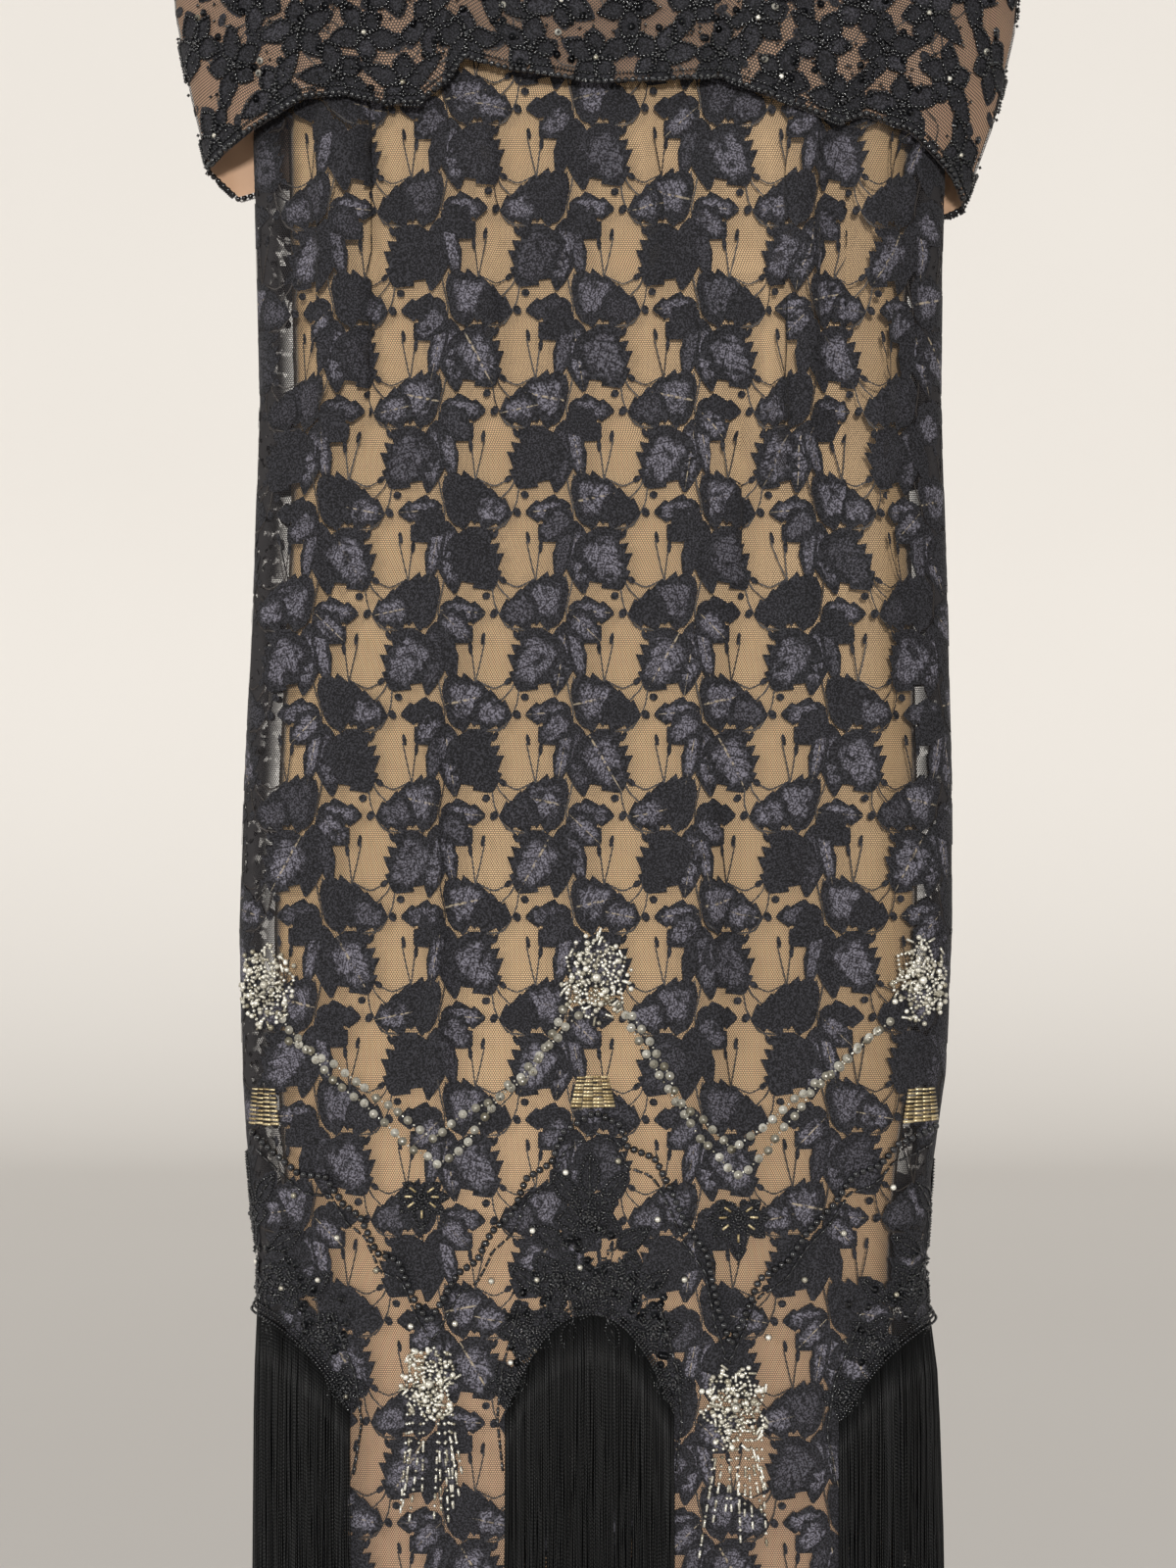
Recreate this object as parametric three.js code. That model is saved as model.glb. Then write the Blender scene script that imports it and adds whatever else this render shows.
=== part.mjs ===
// Lace evening dress with a beaded yoke and fringe panels, hanging on a plain hanger.
// Millimetres, +Z up, front towards -Y. The origin is where the hanger's hook rests on its rail.
import * as THREE from "three";

// Cloth and seam sizes
const WALL = 1;
const SEAM = 0.3;
const HALF_SEAM = SEAM / 2;
const LAYER = WALL + SEAM;

// Shoulder and neck
const SHOULDER_Z = -115;
const SHOULDER_SLOPE = Math.tan(THREE.MathUtils.degToRad(18));
const NECK_HALF = 75;
const NECK_DROP_FRONT = 90;
const NECK_DROP_BACK = 25;
const ROUND_OVER = 120;

// Yoke
const YOKE_DEPTH_FRONT = 50;
const YOKE_DEPTH_BACK = 38;
const YOKE_TIP = 205;
const YOKE_SIDE_POWER = 3;
const YOKE_LINING_SUNK = WALL + 2 * SEAM;

// Lining dress
const STRAP_HALF = 150;
const LINING_SETBACK = 6;
const LINING_NECK_HALF = NECK_HALF + LINING_SETBACK;
const UNDERARM_Z = -300;
const LINING_HEM_Z = -1385;
const LINING_SUNK = YOKE_LINING_SUNK + WALL + 0.7;
const LINING_FOLD_SHARE = 0.35;
const LINING_NECK_SHARE = 0.4;
const LINING_STRAP_SHARE = 0.75;

// Lace body
const LACE_TOP_Z = -308;
const LACE_HEM_Z = -1405;
const LACE_TOP_EASE = LAYER + 0.2;
const LACE_SIDE_EASE = 22;
const LACE_DEPTH_EASE = 3.5;
const LACE_EASE_RUN = 70;

// Trim
const FRINGE_END_Z = -1445;
const FRINGE_THICK = 5;
const APPLIQUE_THICK = 3;
const BORDER_WIDTH = 4;
const BORDER_THICK = 3.5;
const EDGING_BEAD = 4;
const EDGING_GAP = 0.5;
const EDGING_PROUD = 0.8;
const PANEL_SEAT = 0.5;
const BORDER_SEAT = 1;
const BORDER_STEP = 10;
const APPLIQUE_GAP = 1;
const WIDE_COLUMN = 9;

// Hanger
const HANGER_SPAN_HALF = 196;
const HANGER_THICK = 9;
const HANGER_TALL = 26;
const HANGER_BOW = 3.5;
const HANGER_CROWN_Z = -94;
const HOOK_WIRE = 4;
const HOOK_INNER_RADIUS = 20;

// Rounded sides of the body: 0.77 lies between an ellipse (1) and a rectangle (0).
const SECTION_POWER = 0.77;

// Lining sections from underarm to hem: half widths to the left and right, depths to the front and back.
const LINING_SECTIONS = [
  { z: -300, left: 198, right: 203, front: 37, back: 25 },
  { z: -380, left: 199, right: 204, front: 37, back: 25 },
  { z: -462, left: 197, right: 202, front: 39, back: 26 },
  { z: -549, left: 195, right: 201, front: 40, back: 26 },
  { z: -673, left: 199, right: 205, front: 41, back: 27 },
  { z: -797, left: 205, right: 208, front: 42, back: 28 },
  { z: -890, left: 208, right: 208, front: 43, back: 28 },
  { z: -983, left: 206, right: 204, front: 43, back: 29 },
  { z: -1045, left: 202, right: 195, front: 43, back: 29 },
  { z: -1107, left: 196, right: 191, front: 43, back: 29 },
  { z: -1169, left: 194, right: 194, front: 43, back: 29 },
  { z: -1290, left: 195, right: 198, front: 43, back: 29 },
  { z: -1445, left: 196, right: 199, front: 43, back: 29 },
];

// Columns of the body as shares of its half width, closer beside the neck point,
// the strap's end and the seam.
const BODY_HALF = [0, 0.1, 0.2, 0.3, 0.38, 0.4, 0.49, 0.58, 0.67, 0.75, 0.77, 0.84, 0.91, 0.96, 0.99, 1];
const bothSides = (half) => {
  const mirrored = half.slice(1).map((share) => -share).reverse();
  return [...mirrored, ...half].map((share) => (1 + share) / 2);
};
const BODY_COLUMNS = bothSides(BODY_HALF);

// Rows of the lining and the yoke as shares of their length, closer where they round over the shoulder.
const LINING_ROWS = [0, 0.003, 0.011, 0.03, 0.06, 0.12, 0.24, 0.42, 0.62, 0.82, 1];
const YOKE_ROWS = [0, 0.015, 0.06, 0.16, 0.32, 0.52, 0.76, 1];

// Heights of the lace's rings.
const LACE_ROWS_Z = [-308, -340, -380, -462, -549, -610, -673, -735, -797, -890, -983, -1045, -1107, -1169,
  -1290, LACE_HEM_Z];

// Columns of the yoke from the middle to the overarm fold, closer beside the neck point.
const YOKE_NECK = NECK_HALF / YOKE_TIP;
const YOKE_HALF = [0, 0.1, 0.2, 0.29, 0.35, YOKE_NECK, 0.48, 0.6, 0.72, 0.84, 0.93, 1];
const YOKE_COLUMNS = bothSides(YOKE_HALF);

// Folds of the body: place across it, lean by its lower end, half width, height, upper and lower end.
const FRONT_FOLDS = [
  { x: -172, lean: -6, width: 22, height: 4.5, top: -325, bottom: -760 },
  { x: -146, lean: 4, width: 14, height: -3, top: -325, bottom: -640 },
  { x: -89, lean: -10, width: 24, height: 3, top: -330, bottom: -980 },
  { x: 60, lean: 8, width: 26, height: 3.5, top: -420, bottom: -1180 },
  { x: 96, lean: -4, width: 16, height: -2.5, top: -480, bottom: -900 },
  { x: 128, lean: 6, width: 22, height: 3.5, top: -325, bottom: -820 },
  { x: 176, lean: 4, width: 20, height: 4, top: -325, bottom: -1000 },
  { x: -20, lean: 14, width: 34, height: 2, top: -560, bottom: -1300 },
];
const BACK_FOLDS = [
  { x: -140, lean: -8, width: 26, height: 3, top: -325, bottom: -900 },
  { x: -40, lean: 10, width: 30, height: 2.5, top: -330, bottom: -1150 },
  { x: 52, lean: -6, width: 28, height: 3, top: -325, bottom: -1000 },
  { x: 150, lean: 8, width: 24, height: 3.5, top: -325, bottom: -820 },
];

// Overarm fold of the yoke from shoulder tip to sleeve hem: half widths to the left and right.
const YOKE_FOLD = [
  { share: 0, left: YOKE_TIP, right: YOKE_TIP },
  { share: 0.12, left: 241, right: 241 },
  { share: 0.26, left: 264, right: 263 },
  { share: 0.42, left: 274, right: 274 },
  { share: 0.58, left: 272, right: 271 },
  { share: 0.8, left: 262, right: 257 },
  { share: 1, left: 250, right: 237 },
];

// Yoke hem lines across the dress.
const YOKE_HEM_FRONT = [
  { x: -250, z: -402 },
  { x: -221, z: -382 },
  { x: -185, z: -363 },
  { x: -160, z: -361 },
  { x: -132, z: -369 },
  { x: -112, z: -369 },
  { x: -93, z: -354 },
  { x: -83, z: -339 },
  { x: -53, z: -347 },
  { x: 0, z: -355 },
  { x: 79, z: -352 },
  { x: 118, z: -367 },
  { x: 154, z: -380 },
  { x: 170, z: -374 },
  { x: 200, z: -383 },
  { x: 228, z: -408 },
  { x: 237, z: -426 },
];
const YOKE_HEM_BACK = [
  { x: -250, z: -402 },
  { x: -232, z: -418 },
  { x: -190, z: -402 },
  { x: -130, z: -388 },
  { x: 0, z: -374 },
  { x: 130, z: -390 },
  { x: 190, z: -404 },
  { x: 226, z: -430 },
  { x: 237, z: -426 },
];

// Zigzag of the bead border on the front, left peak to right peak.
const BORDER_FRONT = [
  { x: -218, z: -1020 },
  { x: -188, z: -1045 },
  { x: -171, z: -1046 },
  { x: -160, z: -1063 },
  { x: -149, z: -1071 },
  { x: -138, z: -1094 },
  { x: -125, z: -1098 },
  { x: -114, z: -1124 },
  { x: -105, z: -1137 },
  { x: -95, z: -1120 },
  { x: -87, z: -1106 },
  { x: -75, z: -1098 },
  { x: -66, z: -1080 },
  { x: -52, z: -1067 },
  { x: -44, z: -1046 },
  { x: -28, z: -1036 },
  { x: -20, z: -1016 },
  { x: -1, z: -1004 },
  { x: 15, z: -1012 },
  { x: 20, z: -1026 },
  { x: 37, z: -1033 },
  { x: 47, z: -1052 },
  { x: 57, z: -1075 },
  { x: 70, z: -1093 },
  { x: 77, z: -1128 },
  { x: 85, z: -1151 },
  { x: 96, z: -1128 },
  { x: 103, z: -1110 },
  { x: 122, z: -1098 },
  { x: 134, z: -1080 },
  { x: 150, z: -1064 },
  { x: 163, z: -1045 },
  { x: 180, z: -1039 },
  { x: 192, z: -1026 },
  { x: 216, z: -1016 },
];
const BORDER_BACK = [
  { x: 210, z: -1017 },
  { x: 168, z: -1052 },
  { x: 150, z: -1084 },
  { x: 124, z: -1104 },
  { x: 105, z: -1142 },
  { x: 84, z: -1104 },
  { x: 58, z: -1080 },
  { x: 38, z: -1040 },
  { x: 0, z: -1006 },
  { x: -38, z: -1040 },
  { x: -58, z: -1080 },
  { x: -84, z: -1104 },
  { x: -105, z: -1142 },
  { x: -124, z: -1104 },
  { x: -150, z: -1084 },
  { x: -168, z: -1052 },
  { x: -212, z: -1017 },
];

// Small bead motifs: middle of each on its side of the dress, half width, half height,
// how far it stands off the lace, rise.
const BEAD_MOTIFS = [
  { name: "rosette_upper_front", side: "front", x: 0, z: -919, across: 23, up: 29, seat: 0.5, rise: 5 },
  { name: "rosette_upper_left", side: "front", x: -210, z: -925, across: 22, up: 28, seat: 1.2, rise: 5 },
  { name: "rosette_upper_right", side: "front", x: 207, z: -922, across: 22, up: 29, seat: 1.2, rise: 5 },
  { name: "rosette_upper_back", side: "back", x: 0, z: -920, across: 23, up: 29, seat: 0.5, rise: 5 },
  { name: "rosette_lower_front_left", side: "front", x: -105, z: -1176, across: 19, up: 25, seat: 0.5, rise: 5 },
  { name: "rosette_lower_front_right", side: "front", x: 88, z: -1191, across: 23, up: 27, seat: 0.5, rise: 5 },
  { name: "rosette_lower_back_left", side: "back", x: -105, z: -1184, across: 21, up: 26, seat: 0.5, rise: 5 },
  { name: "rosette_lower_back_right", side: "back", x: 105, z: -1184, across: 21, up: 26, seat: 0.5, rise: 5 },
  { name: "petal_motif_front_left", side: "front", x: -110, z: -1066, across: 17, up: 24, seat: 0.5, rise: 2 },
  { name: "petal_motif_front_right", side: "front", x: 90, z: -1079, across: 20, up: 24, seat: 0.5, rise: 2 },
  { name: "petal_motif_back_left", side: "back", x: -105, z: -1072, across: 19, up: 24, seat: 0.5, rise: 2 },
  { name: "petal_motif_back_right", side: "back", x: 105, z: -1072, across: 19, up: 24, seat: 0.5, rise: 2 },
  { name: "bugle_block_front", side: "front", x: -2, z: -991, across: 14, up: 9, seat: 0.5, rise: 2 },
  { name: "bugle_block_left", side: "front", x: -212, z: -1003, across: 12, up: 11, seat: 1.2, rise: 2 },
  { name: "bugle_block_right", side: "front", x: 208, z: -1002, across: 14, up: 10, seat: 1.2, rise: 2 },
  { name: "bugle_block_back", side: "back", x: 0, z: -992, across: 14, up: 9, seat: 0.5, rise: 2 },
];

// Fringe panels: the ends of each across the dress, its arch top and how far the arch falls to its ends.
const FRINGE_PANELS = [
  { name: "front", from: { side: "front", x: -56 }, to: { side: "front", x: 48 }, top: -1136, fall: 62 },
  { name: "left", from: { side: "back", x: -160 }, to: { side: "front", x: -164 }, top: -1140, fall: 58 },
  { name: "right", from: { side: "front", x: 147 }, to: { side: "back", x: 156 }, top: -1146, fall: 58 },
  { name: "back", from: { side: "back", x: 52 }, to: { side: "back", x: -52 }, top: -1140, fall: 60 },
];
const APPLIQUE_PEAK = 92;
const APPLIQUE_FOOT = 20;

const LACE_LOOK = new THREE.MeshStandardMaterial({ color: 0x1d1c20, roughness: 0.85 });
const LINING_LOOK = new THREE.MeshStandardMaterial({ color: 0xc79f73, roughness: 0.5 });
const FRINGE_LOOK = new THREE.MeshStandardMaterial({ color: 0x0d0d0e, roughness: 0.6 });
const BLACK_BEAD_LOOK = new THREE.MeshStandardMaterial({ color: 0x08080a, roughness: 0.2 });
const SILVER_BEAD_LOOK = new THREE.MeshStandardMaterial({ color: 0xc9c7bd, roughness: 0.25 });
const CHAMPAGNE_BEAD_LOOK = new THREE.MeshStandardMaterial({ color: 0xb9a678, roughness: 0.25 });
const HANGER_LOOK = new THREE.MeshStandardMaterial({ color: 0xb98f63, roughness: 0.55 });
const HOOK_LOOK = new THREE.MeshStandardMaterial({ color: 0xb8babd, roughness: 0.25, metalness: 1 });

const group = new THREE.Group();
group.name = "flapper_dress";

const smooth = (value) => THREE.MathUtils.smoothstep(value, 0, 1);
const mix = THREE.MathUtils.lerp;

// Reads a short table at a place, straight between its rows.
function readTable(table, key, place, column) {
  const rising = table[table.length - 1][key] > table[0][key];
  let next = table.findIndex((row) => (rising ? row[key] >= place : row[key] <= place));
  if (next === -1) next = table.length - 1;
  if (next === 0) return table[0][column];
  const before = table[next - 1];
  const after = table[next];
  const share = THREE.MathUtils.clamp((place - before[key]) / (after[key] - before[key]), 0, 1);
  return mix(before[column], after[column], share);
}

// Height of a fold at a place on the body: a rounded ridge that fades in and out along its length.
function foldHeight(folds, x, z) {
  let height = 0;
  for (const fold of folds) {
    const along = (fold.top - z) / (fold.top - fold.bottom);
    if (along <= 0 || along >= 1) continue;
    const across = (x - fold.x - fold.lean * along) / fold.width;
    if (Math.abs(across) >= 1) continue;
    const fade = smooth(along / 0.12) * smooth((1 - along) / 0.45);
    height += fold.height * fade * Math.cos((across * Math.PI) / 2) ** 2;
  }
  return height;
}

// Size of the lining at a height, and of the lace that is eased over it.
function liningSection(z) {
  const read = (column) => readTable(LINING_SECTIONS, "z", z, column);
  return { left: read("left"), right: read("right"), front: read("front"), back: read("back") };
}
function laceSection(z) {
  const lining = liningSection(z);
  const ease = smooth((LACE_TOP_Z - z) / LACE_EASE_RUN);
  const side = mix(LACE_TOP_EASE, LACE_SIDE_EASE, ease);
  const deep = mix(LACE_TOP_EASE, LACE_DEPTH_EASE, ease);
  return {
    left: lining.left + side,
    right: lining.right + side,
    front: lining.front + deep,
    back: lining.back + deep,
  };
}

// Point on a section: the angle is 0 at the middle of the front, 90 degrees on the seams, 180 at the back.
function sectionPoint(section, angle, z, lift, foldShare = 1) {
  const turn = THREE.MathUtils.degToRad(angle);
  const half = angle < 0 ? section.left : section.right;
  const atFront = Math.abs(angle) <= 90;
  const deep = atFront ? section.front : section.back;
  const acrossShare = Math.abs(Math.sin(turn)) ** SECTION_POWER;
  const deepShare = Math.abs(Math.cos(turn)) ** SECTION_POWER;
  const x = Math.sign(Math.sin(turn)) * (half + lift) * acrossShare;
  const fold = foldHeight(atFront ? FRONT_FOLDS : BACK_FOLDS, x, z) * deepShare * foldShare;
  const y = (deep + lift) * deepShare + fold;
  return new THREE.Vector3(x, atFront ? -y : y, z);
}

// Closed geometry from points and triangles, turned so that its faces point outwards.
function closedGeometry(points, triangles) {
  let volume = 0;
  for (let corner = 0; corner < triangles.length; corner += 3) {
    const [a, b, c] = [0, 1, 2].map((step) => points[triangles[corner + step]]);
    volume += a.dot(new THREE.Vector3().crossVectors(b, c));
  }
  const faces = volume < 0 ? [...triangles].reverse() : triangles;
  const geometry = new THREE.BufferGeometry().setFromPoints(points);
  geometry.setIndex(faces);
  geometry.computeVertexNormals();
  return geometry;
}

// Closed wall between two matching grids of points, an outer and an inner one, split alike on both sides.
function wallGeometry(outer, inner) {
  const rows = outer.length;
  const columns = outer[0].length;
  const under = rows * columns;
  const at = (row, column) => row * columns + column;
  const triangles = [];
  const quad = (a, b, c, d) => triangles.push(a, b, c, a, c, d);
  for (let row = 0; row < rows - 1; row += 1) {
    for (let column = 0; column < columns - 1; column += 1) {
      const a = at(row, column);
      const b = at(row + 1, column);
      const leftHalf = column < (columns - 1) / 2;
      const faces = leftHalf ? [a, b, b + 1, a, b + 1, a + 1] : [a, b, a + 1, b, b + 1, a + 1];
      triangles.push(...faces, ...faces.map((corner) => corner + under).reverse());
    }
  }
  const rim = [];
  for (let row = 0; row < rows - 1; row += 1) rim.push(at(row, 0));
  for (let column = 0; column < columns - 1; column += 1) rim.push(at(rows - 1, column));
  for (let row = rows - 1; row > 0; row -= 1) rim.push(at(row, columns - 1));
  for (let column = columns - 1; column > 0; column -= 1) rim.push(at(0, column));
  rim.forEach((corner, step) => {
    const next = rim[(step + 1) % rim.length];
    quad(next, corner, corner + under, next + under);
  });
  return closedGeometry([...outer.flat(), ...inner.flat()], triangles);
}

// Grid of points from a function of two shares, across and down, each list running from 0 to 1.
const evenly = (steps) => Array.from({ length: steps + 1 }, (_, step) => step / steps);
function grid(columnShares, rowShares, pointAt) {
  return rowShares.map((down) => columnShares.map((across) => pointAt(across, down)));
}

// Copy of a grid moved in by a depth along its normals; points on a seam stay in the seam's plane,
// and where two seams meet in a corner it moves inwards and down.
function sunkGrid(points, depth, facing) {
  const rows = points.length;
  const columns = points[0].length;
  return points.map((line, row) =>
    line.map((point, column) => {
      const down = points[Math.min(row + 1, rows - 1)][column].clone();
      down.sub(points[Math.max(row - 1, 0)][column]);
      const across = line[Math.min(column + 1, columns - 1)].clone();
      across.sub(line[Math.max(column - 1, 0)]);
      const normal = across.cross(down).multiplyScalar(facing);
      if (Math.abs(point.y) < SEAM) normal.y = 0;
      if (normal.lengthSq() < 1e-6) normal.set(Math.sign(point.x), 0, 1);
      return point.clone().addScaledVector(normal.normalize(), -depth);
    }),
  );
}

function addPiece(name, geometry, look) {
  const mesh = new THREE.Mesh(geometry, look);
  mesh.name = name;
  group.add(mesh);
}

// Height of the shoulder line at a place across the dress.
function shoulderHeight(x) {
  return SHOULDER_Z - Math.max(Math.abs(x) - NECK_HALF, 0) * SHOULDER_SLOPE;
}

// Height of a neck edge inside its half width; it meets the shoulder line there.
function neckHeight(x, half, drop) {
  const share = Math.min(Math.abs(x) / half, 1);
  return shoulderHeight(half) - drop * Math.sqrt(1 - share ** 2.4);
}

// Share of the full depth that cloth has reached at a drop below the shoulder line.
function depthShare(drop) {
  const left = 1 - THREE.MathUtils.clamp(drop / ROUND_OVER, 0, 1);
  return Math.sqrt(1 - left * left);
}

// Angle round a section of a share of its half width, from the middle of the front or of the back.
function shareAngle(signed, facing) {
  const turn = Math.asin(Math.min(Math.abs(signed), 1) ** (1 / SECTION_POWER));
  const angle = Math.sign(signed) * THREE.MathUtils.radToDeg(turn);
  return facing < 0 ? angle : Math.sign(signed || 1) * 180 - angle;
}

// Upper edge of the lining: neck, shoulder strap and armhole, by its share from the middle to the side.
function liningTop(share, drop, side) {
  const half = readTable(LINING_SECTIONS, "z", UNDERARM_Z, side);
  if (share <= LINING_NECK_SHARE) {
    const x = (share / LINING_NECK_SHARE) * LINING_NECK_HALF;
    return { x, z: neckHeight(x, LINING_NECK_HALF, drop + LINING_SETBACK) };
  }
  if (share <= LINING_STRAP_SHARE) {
    const run = (share - LINING_NECK_SHARE) / (LINING_STRAP_SHARE - LINING_NECK_SHARE);
    const x = mix(LINING_NECK_HALF, STRAP_HALF, run);
    return { x, z: shoulderHeight(x) };
  }
  const run = (share - LINING_STRAP_SHARE) / (1 - LINING_STRAP_SHARE);
  return {
    x: mix(STRAP_HALF, half, run ** 2),
    z: mix(shoulderHeight(STRAP_HALF), UNDERARM_Z, run ** 0.7),
  };
}

// Point on the outer face of a lining panel.
function liningPoint(across, down, facing) {
  const signed = across * 2 - 1;
  const drop = facing < 0 ? NECK_DROP_FRONT : NECK_DROP_BACK;
  const top = liningTop(Math.abs(signed), drop, signed < 0 ? "left" : "right");
  const z = mix(top.z, LINING_HEM_Z, down);
  const section = liningSection(Math.min(z, UNDERARM_Z));
  const onSection = sectionPoint(section, shareAngle(signed, facing), z, 0, LINING_FOLD_SHARE);
  const above = smooth((z - UNDERARM_Z) / Math.max(top.z - UNDERARM_Z, 1));
  const x = mix(onSection.x, Math.sign(signed) * top.x, above);
  const fallen = Math.max(shoulderHeight(x) - z, 0);
  const y = onSection.y * depthShare(fallen);
  return new THREE.Vector3(x, y + facing * HALF_SEAM, z - LINING_SUNK * above);
}

for (const [name, facing] of [["lining_front", -1], ["lining_back", 1]]) {
  const outer = grid(BODY_COLUMNS, LINING_ROWS, (across, down) => liningPoint(across, down, facing));
  addPiece(name, wallGeometry(outer, sunkGrid(outer, WALL, facing)), LINING_LOOK);
}

// Lace panels on their rings.
function laceGrid(facing, lift) {
  return LACE_ROWS_Z.map((z) =>
    BODY_COLUMNS.map((across) => {
      const point = sectionPoint(laceSection(z), shareAngle(across * 2 - 1, facing), z, lift);
      point.y += facing * HALF_SEAM;
      return point;
    }),
  );
}
for (const [name, facing] of [["lace_front", -1], ["lace_back", 1]]) {
  addPiece(name, wallGeometry(laceGrid(facing, 0), laceGrid(facing, -WALL)), LACE_LOOK);
}

// Angle on the lace section of a place given by its side of the dress and its x.
function laceAngle(side, x, z) {
  const section = laceSection(z);
  return shareAngle(x / (x < 0 ? section.left : section.right), side === "front" ? -1 : 1);
}

// Point on the flat faces of the lace moved out, found between its own columns and rows.
const FRONT_ANGLES = BODY_COLUMNS.map((across) => shareAngle(across * 2 - 1, -1));
const RIGHT_BACK_ANGLES = BODY_HALF.slice(0, -1).map((share) => shareAngle(share, 1)).reverse();
const LEFT_BACK_ANGLES = RIGHT_BACK_ANGLES.map((angle) => -angle).reverse();
const RING_ANGLES = [...LEFT_BACK_ANGLES, ...FRONT_ANGLES, ...RIGHT_BACK_ANGLES];
const RING_ROWS_Z = [...LACE_ROWS_Z, FRINGE_END_Z];
function between(list, place) {
  const rising = list[1] > list[0];
  let next = list.findIndex((value) => (rising ? value >= place : value <= place));
  if (next === -1) next = list.length - 1;
  next = Math.max(next, 1);
  const step = list[next] - list[next - 1];
  const share = (place - list[next - 1]) / step;
  return { before: list[next - 1], after: list[next], share };
}
function onLace(angle, z, lift) {
  const turned = angle > 180 ? angle - 360 : angle;
  const column = between(RING_ANGLES, turned);
  const row = between(RING_ROWS_Z, z);
  const corner = (atAngle, atZ) => {
    const point = sectionPoint(laceSection(atZ), atAngle, atZ, lift);
    if (Math.abs(atAngle) !== 90) point.y += Math.abs(atAngle) < 90 ? -HALF_SEAM : HALF_SEAM;
    return point;
  };
  const upper = corner(column.before, row.before).lerp(corner(column.after, row.before), column.share);
  const lower = corner(column.before, row.after).lerp(corner(column.after, row.after), column.share);
  return upper.lerp(lower, row.share);
}

// Point of the yoke's outer face.
function yokePoint(across, down, facing) {
  const signed = across * 2 - 1;
  const side = signed < 0 ? "left" : "right";
  const share = Math.abs(signed);
  const topX = share * YOKE_TIP;
  const drop = facing < 0 ? NECK_DROP_FRONT : NECK_DROP_BACK;
  const topZ = topX < NECK_HALF ? neckHeight(topX, NECK_HALF, drop) : shoulderHeight(topX);
  const hem = facing < 0 ? YOKE_HEM_FRONT : YOKE_HEM_BACK;
  const hemX = signed * YOKE_FOLD[YOKE_FOLD.length - 1][side];
  const z = mix(topZ, readTable(hem, "x", hemX, "z"), down);
  const x = signed * readTable(YOKE_FOLD, "share", down, side);
  const deep = facing < 0 ? YOKE_DEPTH_FRONT : YOKE_DEPTH_BACK;
  const sideShare = Math.sqrt(1 - share ** YOKE_SIDE_POWER);
  const fallen = Math.max(shoulderHeight(topX) - z, 0);
  const y = deep * sideShare * depthShare(fallen);
  return new THREE.Vector3(x, facing * (y + HALF_SEAM), z);
}

for (const [side, facing] of [["front", -1], ["back", 1]]) {
  const face = grid(YOKE_COLUMNS, YOKE_ROWS, (across, down) => yokePoint(across, down, facing));
  const layer = (depth) => sunkGrid(face, depth, facing);
  addPiece(`yoke_${side}`, wallGeometry(face, layer(WALL)), LACE_LOOK);
  const lining = wallGeometry(layer(YOKE_LINING_SUNK), layer(YOKE_LINING_SUNK + WALL));
  addPiece(`yoke_lining_${side}`, lining, LINING_LOOK);

  // Bead edging: a strip below the hem, as thick as both layers and a little more on the outside.
  const below = (line, drop) => line.map((point) => point.clone().setZ(point.z - drop));
  const lastRow = (lines) => lines[lines.length - 1].slice(1, -1);
  const outside = lastRow(layer(-EDGING_PROUD));
  const inside = lastRow(layer(YOKE_LINING_SUNK));
  const strip = (line) => [below(line, EDGING_GAP), below(line, EDGING_GAP + EDGING_BEAD)];
  addPiece(`yoke_edging_${side}`, wallGeometry(strip(outside), strip(inside)), BLACK_BEAD_LOOK);
}

// Low domed solid on the lace, its foot clear of the lace.
function domeGeometry(motif) {
  const spokes = 14;
  const rings = [0.5, 1];
  const place = (ring, spoke, lift) => {
    const turn = (spoke / spokes) * Math.PI * 2;
    const middle = laceAngle(motif.side, motif.x, motif.z);
    const z = motif.z + Math.sin(turn) * motif.up * ring;
    const step = Math.cos(turn) * motif.across * ring;
    return onLace(middle + step * degreesPerMillimetre(middle, motif.z), z, lift);
  };
  const points = [];
  const triangles = [];
  for (const upper of [true, false]) {
    const base = points.length;
    points.push(place(0, 0, upper ? motif.seat + motif.rise + 1 : motif.seat));
    for (const ring of rings) {
      const lift = upper ? motif.seat + motif.rise * (1 - ring ** 2) + 1 : motif.seat;
      for (let spoke = 0; spoke < spokes; spoke += 1) points.push(place(ring, spoke, lift));
    }
    for (let spoke = 0; spoke < spokes; spoke += 1) {
      const next = (spoke + 1) % spokes;
      const [a, b] = [base + 1 + spoke, base + 1 + next];
      const faces = [base, a, b, a, a + spokes, b + spokes, a, b + spokes, b];
      triangles.push(...(upper ? faces : faces.reverse()));
    }
  }
  const foot = points.length / 2;
  for (let spoke = 0; spoke < spokes; spoke += 1) {
    const edge = 1 + spokes + spoke;
    const next = 1 + spokes + ((spoke + 1) % spokes);
    triangles.push(edge, edge + foot, next + foot, edge, next + foot, next);
  }
  return closedGeometry(points, triangles);
}

// Turn round the lace that makes one millimetre along it.
function degreesPerMillimetre(angle, z) {
  const half = 2;
  const before = onLace(angle - half, z, 0);
  const after = onLace(angle + half, z, 0);
  return (2 * half) / before.distanceTo(after);
}

for (const motif of BEAD_MOTIFS) {
  let look = SILVER_BEAD_LOOK;
  if (motif.name.startsWith("petal")) look = BLACK_BEAD_LOOK;
  if (motif.name.startsWith("bugle")) look = CHAMPAGNE_BEAD_LOOK;
  addPiece(motif.name, domeGeometry(motif), look);
}

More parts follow.
